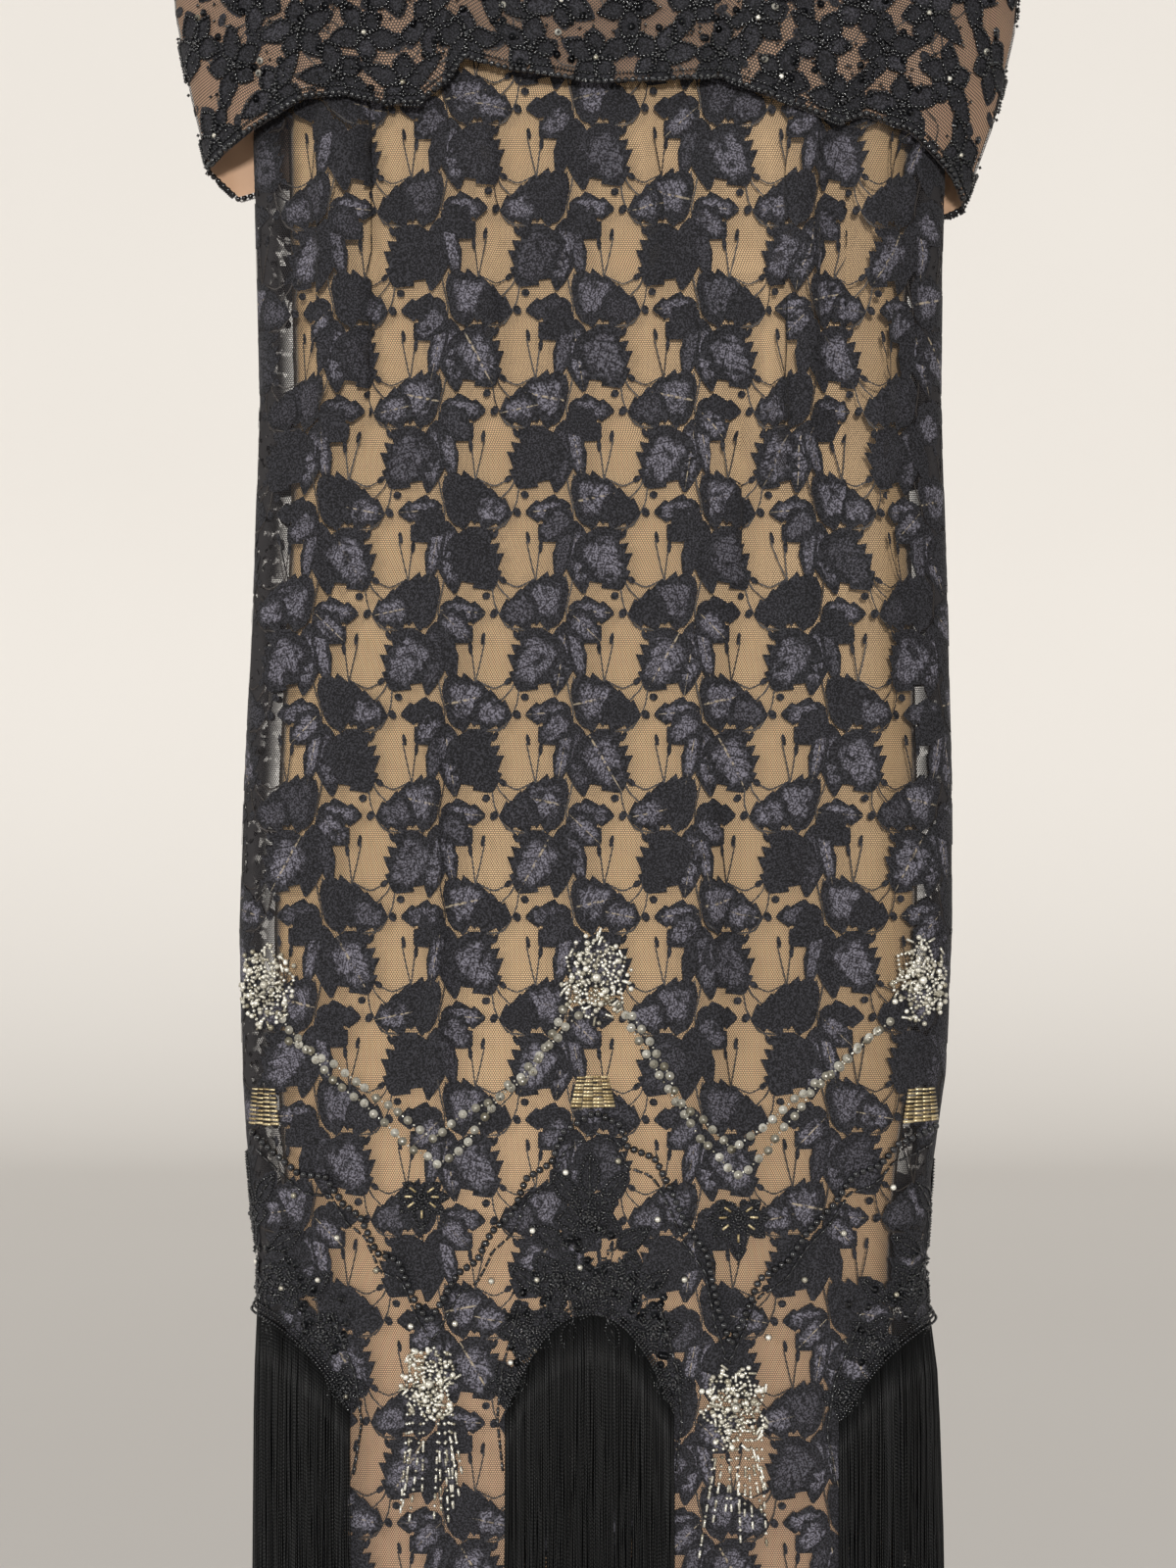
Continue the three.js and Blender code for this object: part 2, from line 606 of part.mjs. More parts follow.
// Panel on the lace between two lines, from one angle to another, on the lace's own columns.
function panelGeometry(panel, topAt, bottomAt, rows, thick) {
  const start = laceAngle(panel.from.side, panel.from.x, panel.top);
  const end = laceAngle(panel.to.side, panel.to.x, panel.top);
  const reach = end < start ? end + 360 : end;
  const round = [...RING_ANGLES, ...RING_ANGLES.slice(1).map((angle) => angle + 360)];
  const inside = round.filter((angle) => angle > start + 1 && angle < reach - 1);
  const lines = [start, ...inside, reach];
  const halved = (angle, before) => (angle - before > WIDE_COLUMN ? [(angle + before) / 2, angle] : [angle]);
  const steps = lines.slice(1).flatMap((angle, index) => halved(angle, lines[index]));
  const columns = [start, ...steps].map((angle) => (angle - start) / (reach - start));
  const face = (lift) =>
    grid(columns, evenly(rows), (across, down) =>
      onLace(mix(start, reach, across), mix(topAt(across), bottomAt(across), down), lift),
    );
  return wallGeometry(face(PANEL_SEAT + thick), face(PANEL_SEAT));
}

for (const panel of FRINGE_PANELS) {
  const arch = (across) => panel.top - panel.fall * Math.abs(across * 2 - 1) ** 2.2;
  const fringe = panelGeometry(panel, arch, () => FRINGE_END_Z, 4, FRINGE_THICK);
  addPiece(`fringe_${panel.name}`, fringe, FRINGE_LOOK);
  const head = (across) => panel.top + APPLIQUE_FOOT + APPLIQUE_PEAK * (1 - Math.abs(across * 2 - 1)) ** 1.3;
  const applique = panelGeometry(panel, head, (across) => arch(across) + APPLIQUE_GAP, 3, APPLIQUE_THICK);
  addPiece(`applique_${panel.name}`, applique, BLACK_BEAD_LOOK);
}

// Raised band along a zigzag on the lace, in short steps.
function bandGeometry(table, side) {
  const line = [];
  table.slice(0, -1).forEach((row, index) => {
    const next = table[index + 1];
    const steps = Math.ceil(Math.hypot(next.x - row.x, next.z - row.z) / BORDER_STEP);
    for (let step = 0; step < steps; step += 1) {
      line.push(new THREE.Vector2(mix(row.x, next.x, step / steps), mix(row.z, next.z, step / steps)));
    }
  });
  const face = (lift) =>
    line.map((point, index) => {
      const before = line[Math.max(index - 1, 0)];
      const after = line[Math.min(index + 1, line.length - 1)];
      const along = after.clone().sub(before).normalize();
      return [-0.5, 0.5].map((half) => {
        const x = point.x - along.y * half * BORDER_WIDTH;
        const z = point.y + along.x * half * BORDER_WIDTH;
        return onLace(laceAngle(side, x, z), z, lift);
      });
    });
  return wallGeometry(face(BORDER_SEAT + BORDER_THICK), face(BORDER_SEAT));
}
addPiece("bead_border_front", bandGeometry(BORDER_FRONT, "front"), BLACK_BEAD_LOOK);
addPiece("bead_border_back", bandGeometry(BORDER_BACK, "back"), BLACK_BEAD_LOOK);

// Hanger arms: a rounded bar under the cloth, bowed so that it bears in the middle of each strap.
const STRAP_MIDDLE = (LINING_NECK_HALF + STRAP_HALF) / 2;
function hangerTop(x) {
  const far = Math.abs(x);
  const cloth = LINING_SUNK + WALL + SEAM;
  const bow = HANGER_BOW * ((far - STRAP_MIDDLE) / (STRAP_HALF - STRAP_MIDDLE)) ** 2;
  const arm = shoulderHeight(Math.max(far, NECK_HALF)) - cloth - Math.min(bow, 2 * HANGER_BOW);
  return mix(HANGER_CROWN_Z, arm, smooth(far / NECK_HALF));
}
const ARM_STEPS = 24;
const ARM_SIDES = 10;
const armRings = grid(evenly(ARM_SIDES - 1), evenly(ARM_STEPS), (around, along) => {
  const x = mix(-HANGER_SPAN_HALF, HANGER_SPAN_HALF, along);
  const turn = ((around * (ARM_SIDES - 1)) / ARM_SIDES) * Math.PI * 2;
  const taper = Math.sqrt(1 - 0.75 * Math.abs(along * 2 - 1) ** 12);
  const tall = (HANGER_TALL / 2) * taper;
  const y = Math.sin(turn) * (HANGER_THICK / 2) * taper;
  return new THREE.Vector3(x, y, hangerTop(x) - HANGER_TALL / 2 + Math.cos(turn) * tall);
});
function barGeometry(rings) {
  const sides = rings[0].length;
  const points = rings.flat();
  const triangles = [];
  for (let ring = 0; ring < rings.length - 1; ring += 1) {
    for (let side = 0; side < sides; side += 1) {
      const a = ring * sides + side;
      const b = ring * sides + ((side + 1) % sides);
      triangles.push(a, b, b + sides, a, b + sides, a + sides);
    }
  }
  const last = (rings.length - 1) * sides;
  for (let side = 1; side < sides - 1; side += 1) {
    triangles.push(0, side + 1, side, last, last + side, last + side + 1);
  }
  return closedGeometry(points, triangles);
}
addPiece("hanger_arms", barGeometry(armRings), HANGER_LOOK);

// Hook: a stem from the crown, a bend round the rail and a rounded tip.
const BEND = HOOK_INNER_RADIUS + HOOK_WIRE / 2;
const bendMiddle = new THREE.Vector3(0, 0, -HOOK_INNER_RADIUS);
const hookPoints = [new THREE.Vector3(0, 0, hangerTop(0) + SEAM), new THREE.Vector3(0, 0, -62)];
for (const degrees of [-70, -35, 0, 45, 90, 135, 180, 205]) {
  const turn = THREE.MathUtils.degToRad(degrees);
  const offset = new THREE.Vector3(Math.cos(turn) * BEND, 0, Math.sin(turn) * BEND);
  hookPoints.push(bendMiddle.clone().add(offset));
}
const hookPath = new THREE.CatmullRomCurve3(hookPoints, false, "centripetal");
const hookSection = new THREE.Shape().absarc(0, 0, HOOK_WIRE / 2, 0, Math.PI * 2);
const hook = new THREE.ExtrudeGeometry(hookSection, { steps: 32, extrudePath: hookPath, curveSegments: 3 });
addPiece("hanger_hook", hook, HOOK_LOOK);

export default group;
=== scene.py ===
"""Black leaf-lace evening dress on a hanger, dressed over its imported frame."""

import logging
import math
from collections.abc import Callable
from dataclasses import dataclass, field
from enum import Enum
from typing import NamedTuple

import bmesh
import bpy
import numpy as np
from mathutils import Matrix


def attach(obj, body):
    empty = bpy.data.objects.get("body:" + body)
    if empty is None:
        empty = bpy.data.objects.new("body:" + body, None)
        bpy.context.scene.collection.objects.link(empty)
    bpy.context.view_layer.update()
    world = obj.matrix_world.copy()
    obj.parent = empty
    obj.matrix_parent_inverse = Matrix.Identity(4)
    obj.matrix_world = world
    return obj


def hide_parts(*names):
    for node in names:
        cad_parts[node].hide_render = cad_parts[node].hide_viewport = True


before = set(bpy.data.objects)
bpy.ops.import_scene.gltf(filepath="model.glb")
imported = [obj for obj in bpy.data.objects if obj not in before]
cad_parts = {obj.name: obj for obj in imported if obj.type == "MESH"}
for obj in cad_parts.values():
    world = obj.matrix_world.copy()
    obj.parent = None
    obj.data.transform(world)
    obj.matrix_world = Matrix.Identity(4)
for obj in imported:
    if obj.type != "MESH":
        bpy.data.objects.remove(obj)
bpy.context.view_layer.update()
LOG = logging.getLogger("dress")
Array = np.ndarray
Faces = list[list[int]]
Colour = tuple[float, float, float]
Path = tuple[tuple[float, float], ...]
SEED = 2924
TINY = 1e-12
SEAM_GAP = 0.00015
NECK_TOP = -0.115
NECK_HALF = 0.075
NECK_POWER = 2.4
SHOULDER_SLOPE = math.tan(math.radians(18))
SHOULDER_ROUND = 0.120
FOLD_START, FOLD_FADE = 0.12, 0.45
PLEAT_START, PLEAT_FADE = 0.15, 0.5
NET_WIDTH = 0.49
SEED_PITCH = 0.0021
LEAF_LIFT, LEAF_LAYER = 0.00068, 0.00003
NO_AREA = 1e-10
UP = np.array([[0.0, 1.0]])
ACROSS = np.array([[1.0, 0.0]])


class Side(Enum):
    """The two halves of the dress; the value is the way that half faces along Y."""

    FRONT = -1.0
    BACK = 1.0


NECK_DROPS = {Side.FRONT: 0.090, Side.BACK: 0.025}


class Section(NamedTuple):
    """Half sizes of the slip at one height, in metres."""

    z: float
    left: float
    right: float
    front: float
    back: float


class Fold(NamedTuple):
    """One soft fold of the body: place, lean by its foot, half width, height and ends, in metres."""

    x: float
    lean: float
    width: float
    height: float
    top: float
    bottom: float


SECTIONS = (
    Section(-0.300, 0.198, 0.203, 0.037, 0.025),
    Section(-0.380, 0.199, 0.204, 0.037, 0.025),
    Section(-0.462, 0.197, 0.202, 0.039, 0.026),
    Section(-0.549, 0.195, 0.201, 0.040, 0.026),
    Section(-0.673, 0.199, 0.205, 0.041, 0.027),
    Section(-0.797, 0.205, 0.208, 0.042, 0.028),
    Section(-0.890, 0.208, 0.208, 0.043, 0.028),
    Section(-0.983, 0.206, 0.204, 0.043, 0.029),
    Section(-1.045, 0.202, 0.195, 0.043, 0.029),
    Section(-1.107, 0.196, 0.191, 0.043, 0.029),
    Section(-1.169, 0.194, 0.194, 0.043, 0.029),
    Section(-1.290, 0.195, 0.198, 0.043, 0.029),
    Section(-1.445, 0.196, 0.199, 0.043, 0.029),
)
MAIN_FOLDS = {
    Side.FRONT: (
        Fold(-0.172, -0.006, 0.022, 0.0045, -0.325, -0.760),
        Fold(-0.146, 0.004, 0.014, -0.0030, -0.325, -0.640),
        Fold(-0.089, -0.010, 0.024, 0.0030, -0.330, -0.980),
        Fold(0.060, 0.008, 0.026, 0.0035, -0.420, -1.180),
        Fold(0.096, -0.004, 0.016, -0.0025, -0.480, -0.900),
        Fold(0.128, 0.006, 0.022, 0.0035, -0.325, -0.820),
        Fold(0.176, 0.004, 0.020, 0.0040, -0.325, -1.000),
        Fold(-0.020, 0.014, 0.034, 0.0020, -0.560, -1.300),
    ),
    Side.BACK: (
        Fold(-0.140, -0.008, 0.026, 0.0030, -0.325, -0.900),
        Fold(-0.040, 0.010, 0.030, 0.0025, -0.330, -1.150),
        Fold(0.052, -0.006, 0.028, 0.0030, -0.325, -1.000),
        Fold(0.150, 0.008, 0.024, 0.0035, -0.325, -0.820),
    ),
}
FINE_FOLDS = {
    Side.FRONT: (
        Fold(-0.184, -0.004, 0.007, -0.0046, -0.330, -0.700),
        Fold(-0.125, -0.006, 0.008, 0.0025, -0.340, -0.500),
        Fold(-0.070, 0.004, 0.010, 0.0045, -0.345, -0.640),
        Fold(-0.012, -0.006, 0.010, -0.0021, -0.350, -0.560),
        Fold(0.034, 0.006, 0.009, 0.0042, -0.350, -0.600),
        Fold(0.114, 0.005, 0.008, 0.0075, -0.450, -0.660),
        Fold(0.186, -0.003, 0.009, 0.0070, -0.340, -0.860),
        Fold(0.070, 0.010, 0.010, 0.0055, -0.780, -1.060),
        Fold(-0.105, 0.008, 0.011, 0.0050, -0.720, -1.080),
    ),
    Side.BACK: (
        Fold(-0.168, 0.004, 0.008, 0.0038, -0.330, -0.640),
        Fold(-0.092, -0.005, 0.009, 0.0027, -0.335, -0.560),
        Fold(0.008, 0.006, 0.010, -0.0023, -0.340, -0.620),
        Fold(0.100, -0.004, 0.008, 0.0032, -0.335, -0.700),
        Fold(0.176, 0.003, 0.007, 0.0040, -0.330, -0.780),
    ),
}


class Pleat(NamedTuple):
    """A pressed pleat that overhangs both of its edges: place, half width, overhang, height and ends."""

    x: float
    width: float
    overhang: float
    height: float
    top: float
    bottom: float


PLEATS = {
    Side.FRONT: (
        Pleat(-0.160, 0.015, 0.0090, 0.0060, -0.330, -0.680),
        Pleat(0.082, 0.009, 0.0048, 0.0045, -0.555, -0.720),
        Pleat(0.131, 0.010, 0.0050, 0.0045, -0.340, -0.640),
        Pleat(0.172, 0.012, 0.0060, 0.0050, -0.340, -0.860),
    ),
    Side.BACK: (
        Pleat(-0.120, 0.013, 0.0070, 0.0050, -0.340, -0.640),
        Pleat(0.135, 0.012, 0.0060, 0.0050, -0.340, -0.720),
    ),
}


def smooth(value: Array | float) -> Array:
    """Ease a value from 0 to 1.

    Args:
        value: Any numbers; they are held between 0 and 1.

    Returns:
        The eased numbers.
    """
    held = np.clip(value, 0.0, 1.0)
    return held * held * (3.0 - 2.0 * held)


def mix(low: Array | float, high: Array | float, share: Array | float) -> Array:
    """Return the value a share of the way from low to high."""
    return low + (high - low) * share


def fold_lift(folds: tuple[Fold, ...], x: Array, z: Array) -> Array:
    """Add up how far the folds stand out.

    Args:
        folds: The folds of one side.
        x: Places across the body.
        z: Heights.

    Returns:
        The lift at each place, in metres.
    """
    total = np.zeros(np.broadcast(x, z).shape)
    for fold in folds:
        along = (fold.top - z) / (fold.top - fold.bottom)
        across = np.clip((x - fold.x - fold.lean * along) / fold.width, -1.0, 1.0)
        ends = smooth(along / FOLD_START) * smooth((1.0 - along) / FOLD_FADE)
        total = total + fold.height * ends * np.cos(across * math.pi / 2) ** 2
    return total


def section_sizes(z: Array) -> tuple[Array, Array, Array, Array]:
    """Read the slip's half sizes at some heights.

    Args:
        z: Heights.

    Returns:
        Left, right, front and back half sizes.
    """
    table = np.array(SECTIONS)
    sizes = [np.interp(-z, -table[:, 0], table[:, column]) for column in range(1, 5)]
    return sizes[0], sizes[1], sizes[2], sizes[3]


def depth_share(drop: Array) -> Array:
    """Return how far the cloth has rounded over the shoulder at a drop below it."""
    return np.sqrt(1.0 - (1.0 - np.clip(drop / SHOULDER_ROUND, 0.0, 1.0)) ** 2)


def shoulder_height(x: Array) -> Array:
    """Return the height of the shoulder line at a place across."""
    return NECK_TOP - np.maximum(np.abs(x) - NECK_HALF, 0.0) * SHOULDER_SLOPE


def neck_height(x: Array, half: float, drop: float) -> Array:
    """Return the height of a neckline that is half wide and dips by drop in the middle."""
    inside = np.clip(1.0 - (np.abs(x) / half) ** NECK_POWER, 0.0, 1.0)
    return shoulder_height(np.array(half)) - drop * np.sqrt(inside)


@dataclass
class PanelGrid:
    """Points of one lace panel, even along each row, with the outward way at each."""

    points: Array
    normals: Array
    low: Array
    high: Array

    def sample(self, row: Array, share: Array, lift: Array) -> Array:
        """Read points between the grid's own.

        Args:
            row: Row numbers, with fractions.
            share: Places along the row, 0 at the left seam and 1 at the right.
            lift: Distances to move out.

        Returns:
            The points, one a row.
        """
        rows, columns = self.points.shape[:2]
        column = np.clip(share, 0.0, 1.0) * (columns - 1)
        r = np.minimum(row.astype(int), rows - 2)
        c = np.minimum(column.astype(int), columns - 2)
        fr = (row - r)[:, None]
        fc = (column - c)[:, None]
        out = []
        for field_values in (self.points, self.normals):
            upper = mix(field_values[r, c], field_values[r, c + 1], fc)
            lower = mix(field_values[r + 1, c], field_values[r + 1, c + 1], fc)
            out.append(mix(upper, lower, fr))
        return out[0] + out[1] * lift[:, None]


@dataclass
class BodyForm:
    """The lace body as fine grids; places on it are metres along the cloth and heights."""

    top: float = -0.308
    hem: float = -1.405
    rows: int = 420
    columns: int = 401
    power: float = 0.77
    side_ease: float = 0.022
    depth_ease: float = 0.0035
    top_ease: float = 0.0015
    gather_run: float = 0.070
    fine: int = 1601
    grids: dict[Side, PanelGrid] = field(default_factory=dict)

    def __post_init__(self) -> None:
        """Make both panels' grids."""
        for side in Side:
            self.grids[side] = self.panel(side)

    def panel(self, side: Side) -> PanelGrid:
        """Make one panel's grid.

        Args:
            side: The half of the dress.

        Returns:
            Its points, outward ways and seam places.
        """
        z = np.linspace(self.top, self.hem, self.rows)[:, None]
        share = np.sin(np.linspace(-1.0, 1.0, self.fine) * math.pi / 2)[None, :]
        left, right, front, back = section_sizes(z)
        ease = smooth((self.top - z) / self.gather_run)
        half = np.where(share < 0, left, right) + mix(self.top_ease, self.side_ease, ease)
        deep = (front if side is Side.FRONT else back) + mix(self.top_ease, self.depth_ease, ease)
        x = half * share
        round_share = np.clip(1.0 - np.abs(share) ** (2 / self.power), 0.0, 1.0) ** (self.power / 2)
        lift = fold_lift(MAIN_FOLDS[side] + FINE_FOLDS[side], x, z)
        for pleat in PLEATS[side]:
            along = (pleat.top - z) / (pleat.top - pleat.bottom)
            held = smooth(along / PLEAT_START) * smooth((1.0 - along) / PLEAT_FADE)
            place = np.clip((half * share - pleat.x) / pleat.width, -1.0, 1.0)
            x = x + held * pleat.overhang * np.sin(math.pi * place)
            lift = lift + held * pleat.height * np.cos(place * math.pi / 2) ** 2
        y = side.value * (deep * round_share + lift * round_share + SEAM_GAP)
        steps = np.hypot(np.diff(x, axis=1), np.diff(y, axis=1))
        arc = np.concatenate([np.zeros((self.rows, 1)), np.cumsum(steps, axis=1)], axis=1)
        arc = arc - arc[:, self.fine // 2, None]
        even = np.linspace(0.0, 1.0, self.columns)
        points = np.zeros((self.rows, self.columns, 3))
        for index in range(self.rows):
            places = mix(arc[index, 0], arc[index, -1], even)
            points[index, :, 0] = np.interp(places, arc[index], x[index])
            points[index, :, 1] = np.interp(places, arc[index], y[index])
            points[index, :, 2] = z[index, 0]
        across = np.gradient(points, axis=1)
        down = np.gradient(points, axis=0)
        normals = np.cross(down, across)
        normals = normals / np.linalg.norm(normals, axis=2, keepdims=True)
        flip = np.sign(np.sum(normals[:, self.columns // 2, 1]) * side.value)
        return PanelGrid(points, normals * flip, arc[:, 0], arc[:, -1])

    def row_at(self, height: Array) -> Array:
        """Return the grid's row number at each height, with fractions."""
        return np.clip((self.top - height) / (self.top - self.hem), 0.0, 1.0) * (self.rows - 1)

    def place(self, side: Side, arc: Array, height: Array, lift: Array | float = 0.0) -> Array:
        """Lay places on the body; what runs past a seam goes on round the other half.

        Args:
            side: The half the places are counted on.
            arc: Metres along the cloth from the middle of that half, growing towards +X.
            height: Heights.
            lift: Distances to move out.

        Returns:
            The points, one a row.
        """
        arc, height, lift = (np.array(v, dtype=float) for v in np.broadcast_arrays(arc, height, lift))
        row = self.row_at(height)
        here = self.grids[side]
        other = self.grids[Side.BACK if side is Side.FRONT else Side.FRONT]
        number = np.arange(self.rows)
        low, high = np.interp(row, number, here.low), np.interp(row, number, here.high)
        low_2, high_2 = np.interp(row, number, other.low), np.interp(row, number, other.high)
        out = here.sample(row, (arc - low) / (high - low), lift)
        for past, share in (
            (arc > high, (high_2 - (arc - high) - low_2) / (high_2 - low_2)),
            (arc < low, (low - arc) / (high_2 - low_2)),
        ):
            if past.any():
                out[past] = other.sample(row[past], share[past], lift[past])
        out[:, 2] += height - mix(self.top, self.hem, row / (self.rows - 1))
        return out

    def outward(self, side: Side, arc: Array, height: Array) -> Array:
        """Return the outward way at each place."""
        way = self.place(side, arc, height, 0.001) - self.place(side, arc, height, 0.0)
        return way / np.linalg.norm(way, axis=1, keepdims=True)

    def arc_at(self, side: Side, x: Array, height: Array) -> Array:
        """Find how far along the cloth a place across the body is.

        Args:
            side: The half of the dress.
            x: Places across.
            height: Heights.

        Returns:
            Metres along the cloth from the middle.
        """
        grid = self.grids[side]
        x, height = np.broadcast_arrays(np.atleast_1d(x), np.atleast_1d(height))
        row = self.row_at(height)
        even = np.linspace(0.0, 1.0, self.columns)
        found = []
        for r, value in zip(row.astype(int), x):
            share = np.interp(value, grid.points[r, :, 0], even)
            found.append(mix(grid.low[r], grid.high[r], share))
        return np.array(found)


@dataclass
class YokeForm:
    """The yoke's shape; places on it run across -1 to 1 and down 0 to 1."""

    depths: dict[Side, float] = field(default_factory=lambda: {Side.FRONT: 0.050, Side.BACK: 0.038})
    sunk: float = 0.0
    shoulder_half: float = 0.205
    ripples: tuple[tuple[float, float, float], ...] = ((0.0011, 19.0, 4.0), (0.0009, 31.0, -7.0))
    ripple_start: float = 0.25
    ripple_run: float = 0.3
    fold_down: tuple[float, ...] = (0.0, 0.12, 0.26, 0.42, 0.58, 0.8, 1.0)
    fold_left: tuple[float, ...] = (0.205, 0.241, 0.264, 0.274, 0.272, 0.262, 0.250)
    fold_right: tuple[float, ...] = (0.205, 0.241, 0.263, 0.274, 0.271, 0.257, 0.237)
    hem_front: Path = (
        (-0.250, -0.402), (-0.221, -0.382), (-0.185, -0.363), (-0.160, -0.361), (-0.132, -0.369),
        (-0.112, -0.369), (-0.093, -0.354), (-0.083, -0.339), (-0.053, -0.347), (0.000, -0.355),
        (0.079, -0.352), (0.118, -0.367), (0.154, -0.380), (0.170, -0.374), (0.200, -0.383),
        (0.228, -0.408), (0.237, -0.426),
    )
    hem_back: Path = (
        (-0.250, -0.402), (-0.232, -0.418), (-0.190, -0.402), (-0.130, -0.388), (0.000, -0.374),
        (0.130, -0.390), (0.190, -0.404), (0.226, -0.430), (0.237, -0.426),
    )

    def base(self, side: Side, across: Array, down: Array) -> Array:
        """Return points of the yoke, before any lift.

        Args:
            side: The half of the dress.
            across: Places from one overarm fold to the other, -1 to 1.
            down: Places from neck or shoulder to hem, 0 to 1.

        Returns:
            The points, one a row.
        """
        across = np.clip(across, -1.0, 1.0)
        top_x = np.abs(across) * self.shoulder_half
        neck = neck_height(np.minimum(top_x, NECK_HALF), NECK_HALF, NECK_DROPS[side])
        top_z = np.where(top_x < NECK_HALF, neck, shoulder_height(top_x))
        left = np.interp(down, self.fold_down, self.fold_left)
        right = np.interp(down, self.fold_down, self.fold_right)
        x = across * np.where(across < 0, left, right)
        hem = np.array(self.hem_front if side is Side.FRONT else self.hem_back)
        hem_x = across * np.where(across < 0, self.fold_left[-1], self.fold_right[-1])
        hem_z = np.interp(hem_x, hem[:, 0], hem[:, 1])
        z = mix(top_z, hem_z, down)
        round_share = np.sqrt(np.clip(1.0 - np.abs(across) ** 3, 0.0, 1.0))
        drop = depth_share(shoulder_height(top_x) - z)
        wave = sum(high * np.sin(across * wide + down * tall) for high, wide, tall in self.ripples)
        wave = wave * smooth((down - self.ripple_start) / self.ripple_run)
        deep = self.depths[side] - self.sunk + wave
        y = side.value * (deep * round_share * drop + SEAM_GAP)
        return np.stack([x, y, z], axis=1)

    def outward(self, side: Side, across: Array, down: Array) -> Array:
        """Return the outward way at each place."""
        step, rim = 0.004, 0.999
        held = np.clip(across, step - rim, rim - step)
        right = self.base(side, np.minimum(across + step, rim), down)
        left = self.base(side, np.maximum(across - step, -rim), down)
        low = self.base(side, held, np.minimum(down + step, 1.0))
        high = self.base(side, held, np.maximum(down - step, 0.0))
        way = np.cross(high - low, right - left) * side.value
        way = way / np.maximum(np.linalg.norm(way, axis=1, keepdims=True), TINY)
        return np.where(way[:, 1:2] * side.value < 0, -way, way)

    def place(self, side: Side, across: Array, down: Array, lift: Array | float = 0.0) -> Array:
        """Return points of the yoke moved out by a lift.

        Args:
            side: The half of the dress.
            across: Places across, -1 to 1.
            down: Places down, 0 to 1.
            lift: Distances to move out.

        Returns:
            The points, one a row.
        """
        across, down, lift = (np.array(v, dtype=float) for v in np.broadcast_arrays(across, down, lift))
        down = np.clip(down, 0.0, 1.0)
        return self.base(side, across, down) + self.outward(side, across, down) * lift[:, None]

    def near(self, side: Side, at: tuple[float, float], flat: Array) -> tuple[Array, Array]:
        """Turn metres round a place on the yoke into places across and down.

        Args:
            side: The half of the dress.
            at: The place's across and down.
            flat: Metres across and up from it, one pair a row.

        Returns:
            The across and down values.
        """
        step = 0.01
        spots = self.base(side, np.array([at[0] - step, at[0] + step, at[0], at[0]]),
                          np.array([at[1], at[1], at[1] - step, at[1] + step]))
        wide = np.linalg.norm(spots[1] - spots[0]) / (2 * step)
        tall = np.linalg.norm(spots[3] - spots[2]) / (2 * step)
        return at[0] + flat[:, 0] / wide, at[1] - flat[:, 1] / tall


@dataclass
class SlipForm:
    """The tan slip's shape; places on it run across -1 to 1 and down 0 to 1."""

    hem: float = -1.385
    neck_half: float = 0.081
    strap_half: float = 0.150
    underarm: float = -0.300
    neck_share: float = 0.4
    strap_share: float = 0.75
    fold_share: float = 0.35
    power: float = 0.77
    strap_sink: float = 0.0033
    blend_edge: float = 0.0001

    def place(self, side: Side, across: Array, down: Array) -> Array:
        """Return points of the slip.

        Args:
            side: The half of the dress.
            across: Places from seam to seam, -1 to 1.
            down: Places from the top edge to the hem, 0 to 1.

        Returns:
            The points, one a row.
        """
        share = np.abs(across)
        sign = np.sign(across)
        half_seam = np.where(across < 0, SECTIONS[0].left, SECTIONS[0].right)
        run = np.clip((share - self.strap_share) / (1.0 - self.strap_share), 0.0, 1.0)
        neck_x = share / self.neck_share * self.neck_half
        strap_x = mix(self.neck_half, self.strap_half,
                      (share - self.neck_share) / (self.strap_share - self.neck_share))
        arm_x = mix(self.strap_half, half_seam, run ** 2)
        arm_z = mix(shoulder_height(np.array(self.strap_half)), self.underarm, run ** 0.7)
        in_neck = share <= self.neck_share
        in_strap = share <= self.strap_share
        top_x = np.where(in_neck, neck_x, np.where(in_strap, strap_x, arm_x))
        neck_z = neck_height(np.minimum(neck_x, self.neck_half), self.neck_half, NECK_DROPS[side])
        top_z = np.where(in_neck, neck_z, np.where(in_strap, shoulder_height(strap_x), arm_z))
        z = mix(top_z, self.hem, down)
        left, right, front, back = section_sizes(z)
        half = np.where(across < 0, left, right)
        deep = front if side is Side.FRONT else back
        above = smooth((z - self.underarm) / np.maximum(top_z - self.underarm, TINY))
        above = np.where(top_z > self.underarm + self.blend_edge, above, 0.0)
        x = sign * mix(half * share, top_x, above)
        round_share = np.clip(1.0 - share ** (2 / self.power), 0.0, 1.0) ** (self.power / 2)
        lift = fold_lift(MAIN_FOLDS[side] + FINE_FOLDS[side], x, z) * self.fold_share
        y = (deep + lift) * round_share * depth_share(shoulder_height(x) - z)
        z = z - self.strap_sink * above
        return np.stack([x, side.value * (y + SEAM_GAP), z], axis=1)


